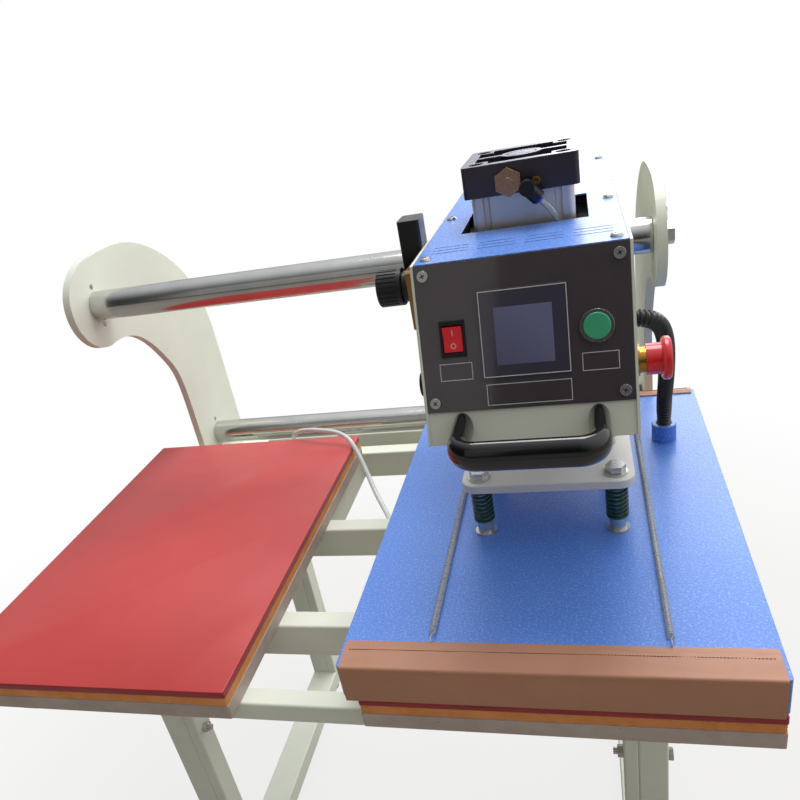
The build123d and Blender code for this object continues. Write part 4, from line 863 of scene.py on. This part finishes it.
# Hoses and the conduit
CONDUIT_ROUTE = (
    (0.357, -0.102, 1.094), (0.383, -0.102, 1.094), (0.402, -0.088, 1.081), (0.411, -0.064, 1.053),
    (0.416, -0.028, 1.011), (0.419, 0.010, 0.967), (0.419, 0.041, 0.918), (0.419, 0.041, 0.876),
)
HOSE_ROUTE = (
    (0.006, 0.002, 0.741), (0.006, 0.022, 0.741), (-0.001, 0.043, 0.746), (-0.016, 0.066, 0.754),
    (-0.032, 0.090, 0.768), (-0.048, 0.117, 0.788), (-0.065, 0.141, 0.813), (-0.083, 0.160, 0.834),
    (-0.106, 0.171, 0.842), (-0.133, 0.177, 0.844), (-0.161, 0.185, 0.843), (-0.185, 0.197, 0.837),
    (-0.206, 0.211, 0.824), (-0.219, 0.226, 0.804), (-0.221, 0.237, 0.781), (-0.209, 0.241, 0.758),
    (-0.187, 0.242, 0.746), (-0.162, 0.240, 0.743), (-0.110, 0.240, 0.743), (-0.056, 0.242, 0.747),
    (-0.002, 0.245, 0.754), (0.050, 0.247, 0.766), (0.104, 0.248, 0.790), (0.148, 0.245, 0.832),
    (0.176, 0.240, 0.890), (0.190, 0.232, 0.955), (0.195, 0.225, 1.003), (0.195, 0.225, 1.042),
)
CLEAR_ROUTE = (
    (0.287, -0.172, 1.247), (0.2945, -0.1705, 1.2385), (0.301, -0.164, 1.228), (0.3025, -0.1565, 1.2155),
    (0.300, -0.156, 1.198), (0.295, -0.156, 1.178), (0.292, -0.156, 1.164), (0.292, -0.156, 1.150),
)


CONDUIT_RIBS = 58
CONDUIT_GROOVE = 0.0069
CONDUIT_RIB = 0.0031
GLAND_ENTRY = 0.034
GLAND_TAPER = 0.012
HOSE_RADIUS = 0.004
CLEAR_RADIUS = 0.003
CLEAR_BORE = 0.002


def heater_conduit():
    """The ribbed conduit, a little narrower where it enters the gland, to clear its rim."""
    line = spline(CONDUIT_ROUTE, 0.00052)
    total = length_of(line)
    pitch = total / CONDUIT_RIBS

    def radius(travelled):
        share = (travelled / pitch) % 1.0
        crest = 0.5 - 0.5 * math.cos(2 * math.pi * share)
        entry = min(max((travelled - total + GLAND_ENTRY) / GLAND_TAPER, 0.0), 1.0)
        return (CONDUIT_GROOVE + CONDUIT_RIB * crest ** 1.3) * (1 - 0.06 * entry)

    parts = Parts()
    parts.rings(tube_rings(line, radius, 32))
    made = parts.build("conduit_ribbed", CONDUIT, 60.0)
    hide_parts("heater_conduit")
    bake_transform(made)


def air_hose():
    """The white hose from the frame's inlet to the port behind the head."""
    line = spline(HOSE_ROUTE, 0.003)
    parts = Parts()
    parts.rings(tube_rings(line, HOSE_RADIUS, 20))
    made = parts.build("air_hose_tube", HOSE, 60.0)
    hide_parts("air_hose")
    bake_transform(made)


def clear_hose():
    """The clear hose at the cylinder, with its bore."""
    line = spline(CLEAR_ROUTE, 0.0015)
    outer = tube_rings(line, CLEAR_RADIUS, 20)
    inner = tube_rings(line, CLEAR_BORE, 20)
    parts = Parts()
    parts.rings(outer + inner[::-1], closed=True)
    made = parts.build("cylinder_hose_clear", CLEAR, 60.0)
    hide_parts("cylinder_hose")
    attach(made, "carriage")


def elbow_ring():
    """The blue release ring in the mouth of the elbow, round the clear hose."""
    mouth = Vector(CLEAR_ROUTE[0])
    aim = (Vector(CLEAR_ROUTE[1]) - mouth).normalized()
    side = aim.orthogonal().normalized()
    other = aim.cross(side)
    section = ((0.0033, -0.0005), (0.0060, -0.0005), (0.0060, 0.0016), (0.0055, 0.0022), (0.0038, 0.0022))
    rings = []
    for k in range(40):
        turn = 2 * math.pi * k / 40
        spoke = side * math.cos(turn) + other * math.sin(turn)
        rings.append([mouth + spoke * reach + aim * rise for reach, rise in section])
    parts = Parts()
    parts.rings(rings, closed=True)
    made = parts.build("elbow_release_ring", BLUE_PLASTIC, 30.0)
    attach(made, "carriage")


heater_conduit()
air_hose()
clear_hose()
elbow_ring()

# The panel's printed lines, its lit screen and the marks on the switch
LEAN = math.radians(14.4)
PANEL_FOOT = -0.313 + 0.031 * math.tan(LEAN)
PANEL_FRAME = Matrix((
    (1, 0, 0, HEAD_X),
    (0, math.sin(LEAN), -math.cos(LEAN), PANEL_FOOT),
    (0, math.cos(LEAN), math.sin(LEAN), 1.091),
    (0, 0, 0, 1),
))


def outline_box(parts, frame_at, x, y, line, low, high):
    """A thin rectangle drawn with four bars."""
    parts.box(frame_at, x, (y[0], y[0] + line), (low, high))
    parts.box(frame_at, x, (y[1] - line, y[1]), (low, high))
    for edge in (x[0], x[1] - line):
        parts.box(frame_at, (edge, edge + line), (y[0] + line, y[1] - line), (low, high))


def panel_marks():
    ink = Parts()
    line = 0.0007
    high = 0.00006
    outline_box(ink, PANEL_FRAME, (-0.0370, 0.0395), (0.0295, 0.1060), 0.0008, 0.0011, 0.00126)
    outline_box(ink, PANEL_FRAME, (-0.0769, -0.0469), (0.0292, 0.0451), line, -0.00004, high)
    outline_box(ink, PANEL_FRAME, (-0.0358, 0.0394), (0.0037, 0.0232), line, -0.00004, high)
    outline_box(ink, PANEL_FRAME, (0.0492, 0.0801), (0.0285, 0.0445), line, -0.00004, high)
    made = ink.build("panel_lines", INK, 0.0)
    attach(made, "carriage")
    lit = Parts()
    lit.box(PANEL_FRAME, (-0.0240, 0.0265), (0.0400, 0.0910), (0.0011, 0.00126))
    glow = lit.build("screen_field", GLOW, 0.0)
    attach(glow, "carriage")


def rocker_marks():
    pin = PANEL_FRAME @ Matrix.Translation((-0.0622, 0.0672, -0.002))
    at = pin @ Matrix.Rotation(math.radians(7), 4, "X") @ Matrix.Translation((0, 0, 0.002))
    slope = math.atan2(0.0016, 0.0114)
    upper = at @ Matrix.Translation((0, 0, 0.0008)) @ Matrix.Rotation(slope, 4, "X")
    lower = at @ Matrix.Translation((0, 0, 0.0008)) @ Matrix.Rotation(-slope, 4, "X")
    parts = Parts()
    parts.box(upper, (-0.00045, 0.00045), (0.0035, 0.0085), (-0.0001, 0.00008))
    rings = []
    for k in range(32):
        turn = 2 * math.pi * k / 32
        spoke = Vector((math.cos(turn), math.sin(turn), 0))
        ring = [(0.0026, -0.0001), (0.0026, 0.00008), (0.0018, 0.00008), (0.0018, -0.0001)]
        rings.append([lower @ (Vector((0, -0.006, z)) + spoke * r) for r, z in ring])
    parts.rings(rings, closed=True)
    made = parts.build("rocker_marks", INK, 20.0)
    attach(made, "power_rocker")


def screw_slot_shade():
    """Black crosses at the panel's and the cover's screws: painted shade standing in for their cross
    recesses.
    """
    parts = Parts()
    random.seed(4)
    spots = []
    for x in (-1, 1):
        for y in (0.0095, 0.125):
            spots.append(PANEL_FRAME @ Matrix.Translation((x * 0.084, y, 0.0026)))
    for x in (-1, 1):
        for y in (-0.255, -0.082, 0.206):
            spots.append(Matrix.Translation((HEAD_X + x * 0.083, y, 1.2245)))
    for spot in spots:
        turned = spot @ Matrix.Rotation(random.uniform(0, math.pi), 4, "Z")
        arm, half, depth = 0.0023, 0.00045, (-0.0006, 0.00012)
        parts.box(turned, (-arm, arm), (-half, half), depth)
        parts.box(turned, (-half, half), (half, arm), depth)
        parts.box(turned, (-half, half), (-arm, -half), depth)
    made = parts.build("screw_recess_shade", RECESS_SHADE, 0.0)
    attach(made, "carriage")


panel_marks()
rocker_marks()
screw_slot_shade()


# Floor, backdrop and lights

def any_ray(tree, *kinds):
    """1 for rays of any of the kinds named, and 0 for the rest."""
    path = tree.nodes.new("ShaderNodeLightPath")
    total = path.outputs[kinds[0]]
    for name in kinds[1:]:
        node = tree.nodes.new("ShaderNodeMath")
        node.operation = "MAXIMUM"
        tree.links.new(total, node.inputs[0])
        tree.links.new(path.outputs[name], node.inputs[1])
        total = node.outputs[0]
    return total


def ranged(tree, value, low, high, to_low, to_high):
    node = tree.nodes.new("ShaderNodeMapRange")
    node.interpolation_type = "SMOOTHSTEP"
    tree.links.new(value, node.inputs["Value"])
    for name, number in zip(("From Min", "From Max", "To Min", "To Max"), (low, high, to_low, to_high)):
        node.inputs[name].default_value = number
    return node.outputs[0]


def world():
    """White where the camera sees past the object. Its light falls from above, right and behind."""
    made = bpy.data.worlds.new("studio")
    bpy.context.scene.world = made
    made.use_nodes = True
    tree = made.node_tree
    tree.nodes.clear()
    output = tree.nodes.new("ShaderNodeOutputWorld")
    heading = tree.nodes.new("ShaderNodeTexCoord").outputs["Generated"]
    towards = tree.nodes.new("ShaderNodeVectorMath")
    towards.operation = "DOT_PRODUCT"
    towards.inputs[1].default_value = (0.50, 0.42, 0.76)
    tree.links.new(heading, towards.inputs[0])
    light = tree.nodes.new("ShaderNodeBackground")
    light.inputs["Color"].default_value = (0.95, 0.97, 1.0, 1.0)
    strength = ranged(tree, towards.outputs["Value"], -0.35, 0.95, *SKY)
    tree.links.new(strength, light.inputs["Strength"])
    seen = tree.nodes.new("ShaderNodeBackground")
    seen.inputs["Color"].default_value = (1.0, 1.0, 1.0, 1.0)
    mix = tree.nodes.new("ShaderNodeMixShader")
    tree.links.new(any_ray(tree, "Is Camera Ray", "Is Transmission Ray"), mix.inputs[0])
    tree.links.new(light.outputs[0], mix.inputs[1])
    tree.links.new(seen.outputs[0], mix.inputs[2])
    tree.links.new(mix.outputs[0], output.inputs["Surface"])


def floor():
    """A pale floor that fades to the backdrop's white away from the machine."""
    material = bpy.data.materials.new("floor")
    material.use_nodes = True
    tree = material.node_tree
    tree.nodes.clear()
    output = tree.nodes.new("ShaderNodeOutputMaterial")
    matte = tree.nodes.new("ShaderNodeBsdfDiffuse")
    matte.inputs["Color"].default_value = (0.37, 0.34, 0.30, 1.0)
    white = tree.nodes.new("ShaderNodeEmission")
    white.inputs["Strength"].default_value = 1.0
    reach = tree.nodes.new("ShaderNodeVectorMath")
    reach.operation = "LENGTH"
    tree.links.new(tree.nodes.new("ShaderNodeTexCoord").outputs["Object"], reach.inputs[0])
    fade = ranged(tree, reach.outputs["Value"], 0.7, 2.2, 0.80, 1.0)
    share = tree.nodes.new("ShaderNodeMath")
    share.operation = "MULTIPLY"
    tree.links.new(any_ray(tree, "Is Camera Ray", "Is Transmission Ray"), share.inputs[0])
    tree.links.new(fade, share.inputs[1])
    mix = tree.nodes.new("ShaderNodeMixShader")
    tree.links.new(share.outputs[0], mix.inputs[0])
    tree.links.new(matte.outputs[0], mix.inputs[1])
    tree.links.new(white.outputs[0], mix.inputs[2])
    tree.links.new(mix.outputs[0], output.inputs["Surface"])
    points = [(-9, -9, 0), (9, -9, 0), (9, 9, 0), (-9, 9, 0)]
    made = mesh_object("floor", points, [(0, 1, 2, 3)], material, 0.0)


def lamp(name, place, target, size, energy, colour=(1.0, 1.0, 1.0)):
    data = bpy.data.lights.new(name, "AREA")
    data.shape = "SQUARE"
    data.size = size
    data.energy = energy
    data.color = colour
    made = bpy.data.objects.new(name, data)
    made.location = place
    made.rotation_euler = (Vector(target) - Vector(place)).to_track_quat("-Z", "Y").to_euler()
    bpy.context.scene.collection.objects.link(made)


# The sky's strength away from the light and towards it
SKY = (0.04, 1.10)

world()
floor()
lamp("key", (0.35, 0.75, 3.3), (0.0, 0.0, 0.9), 1.3, 42.0)
lamp("glare", (0.95, 3.0, 2.3), (0.3, 0.0, 0.9), 1.7, 30.0, (0.95, 0.97, 1.0))
lamp("fill", (-0.9, -2.6, 1.9), (0.0, 0.0, 0.9), 1.8, 3.0, (1.0, 0.96, 0.92))

bpy.context.scene.view_settings.view_transform = "Standard"
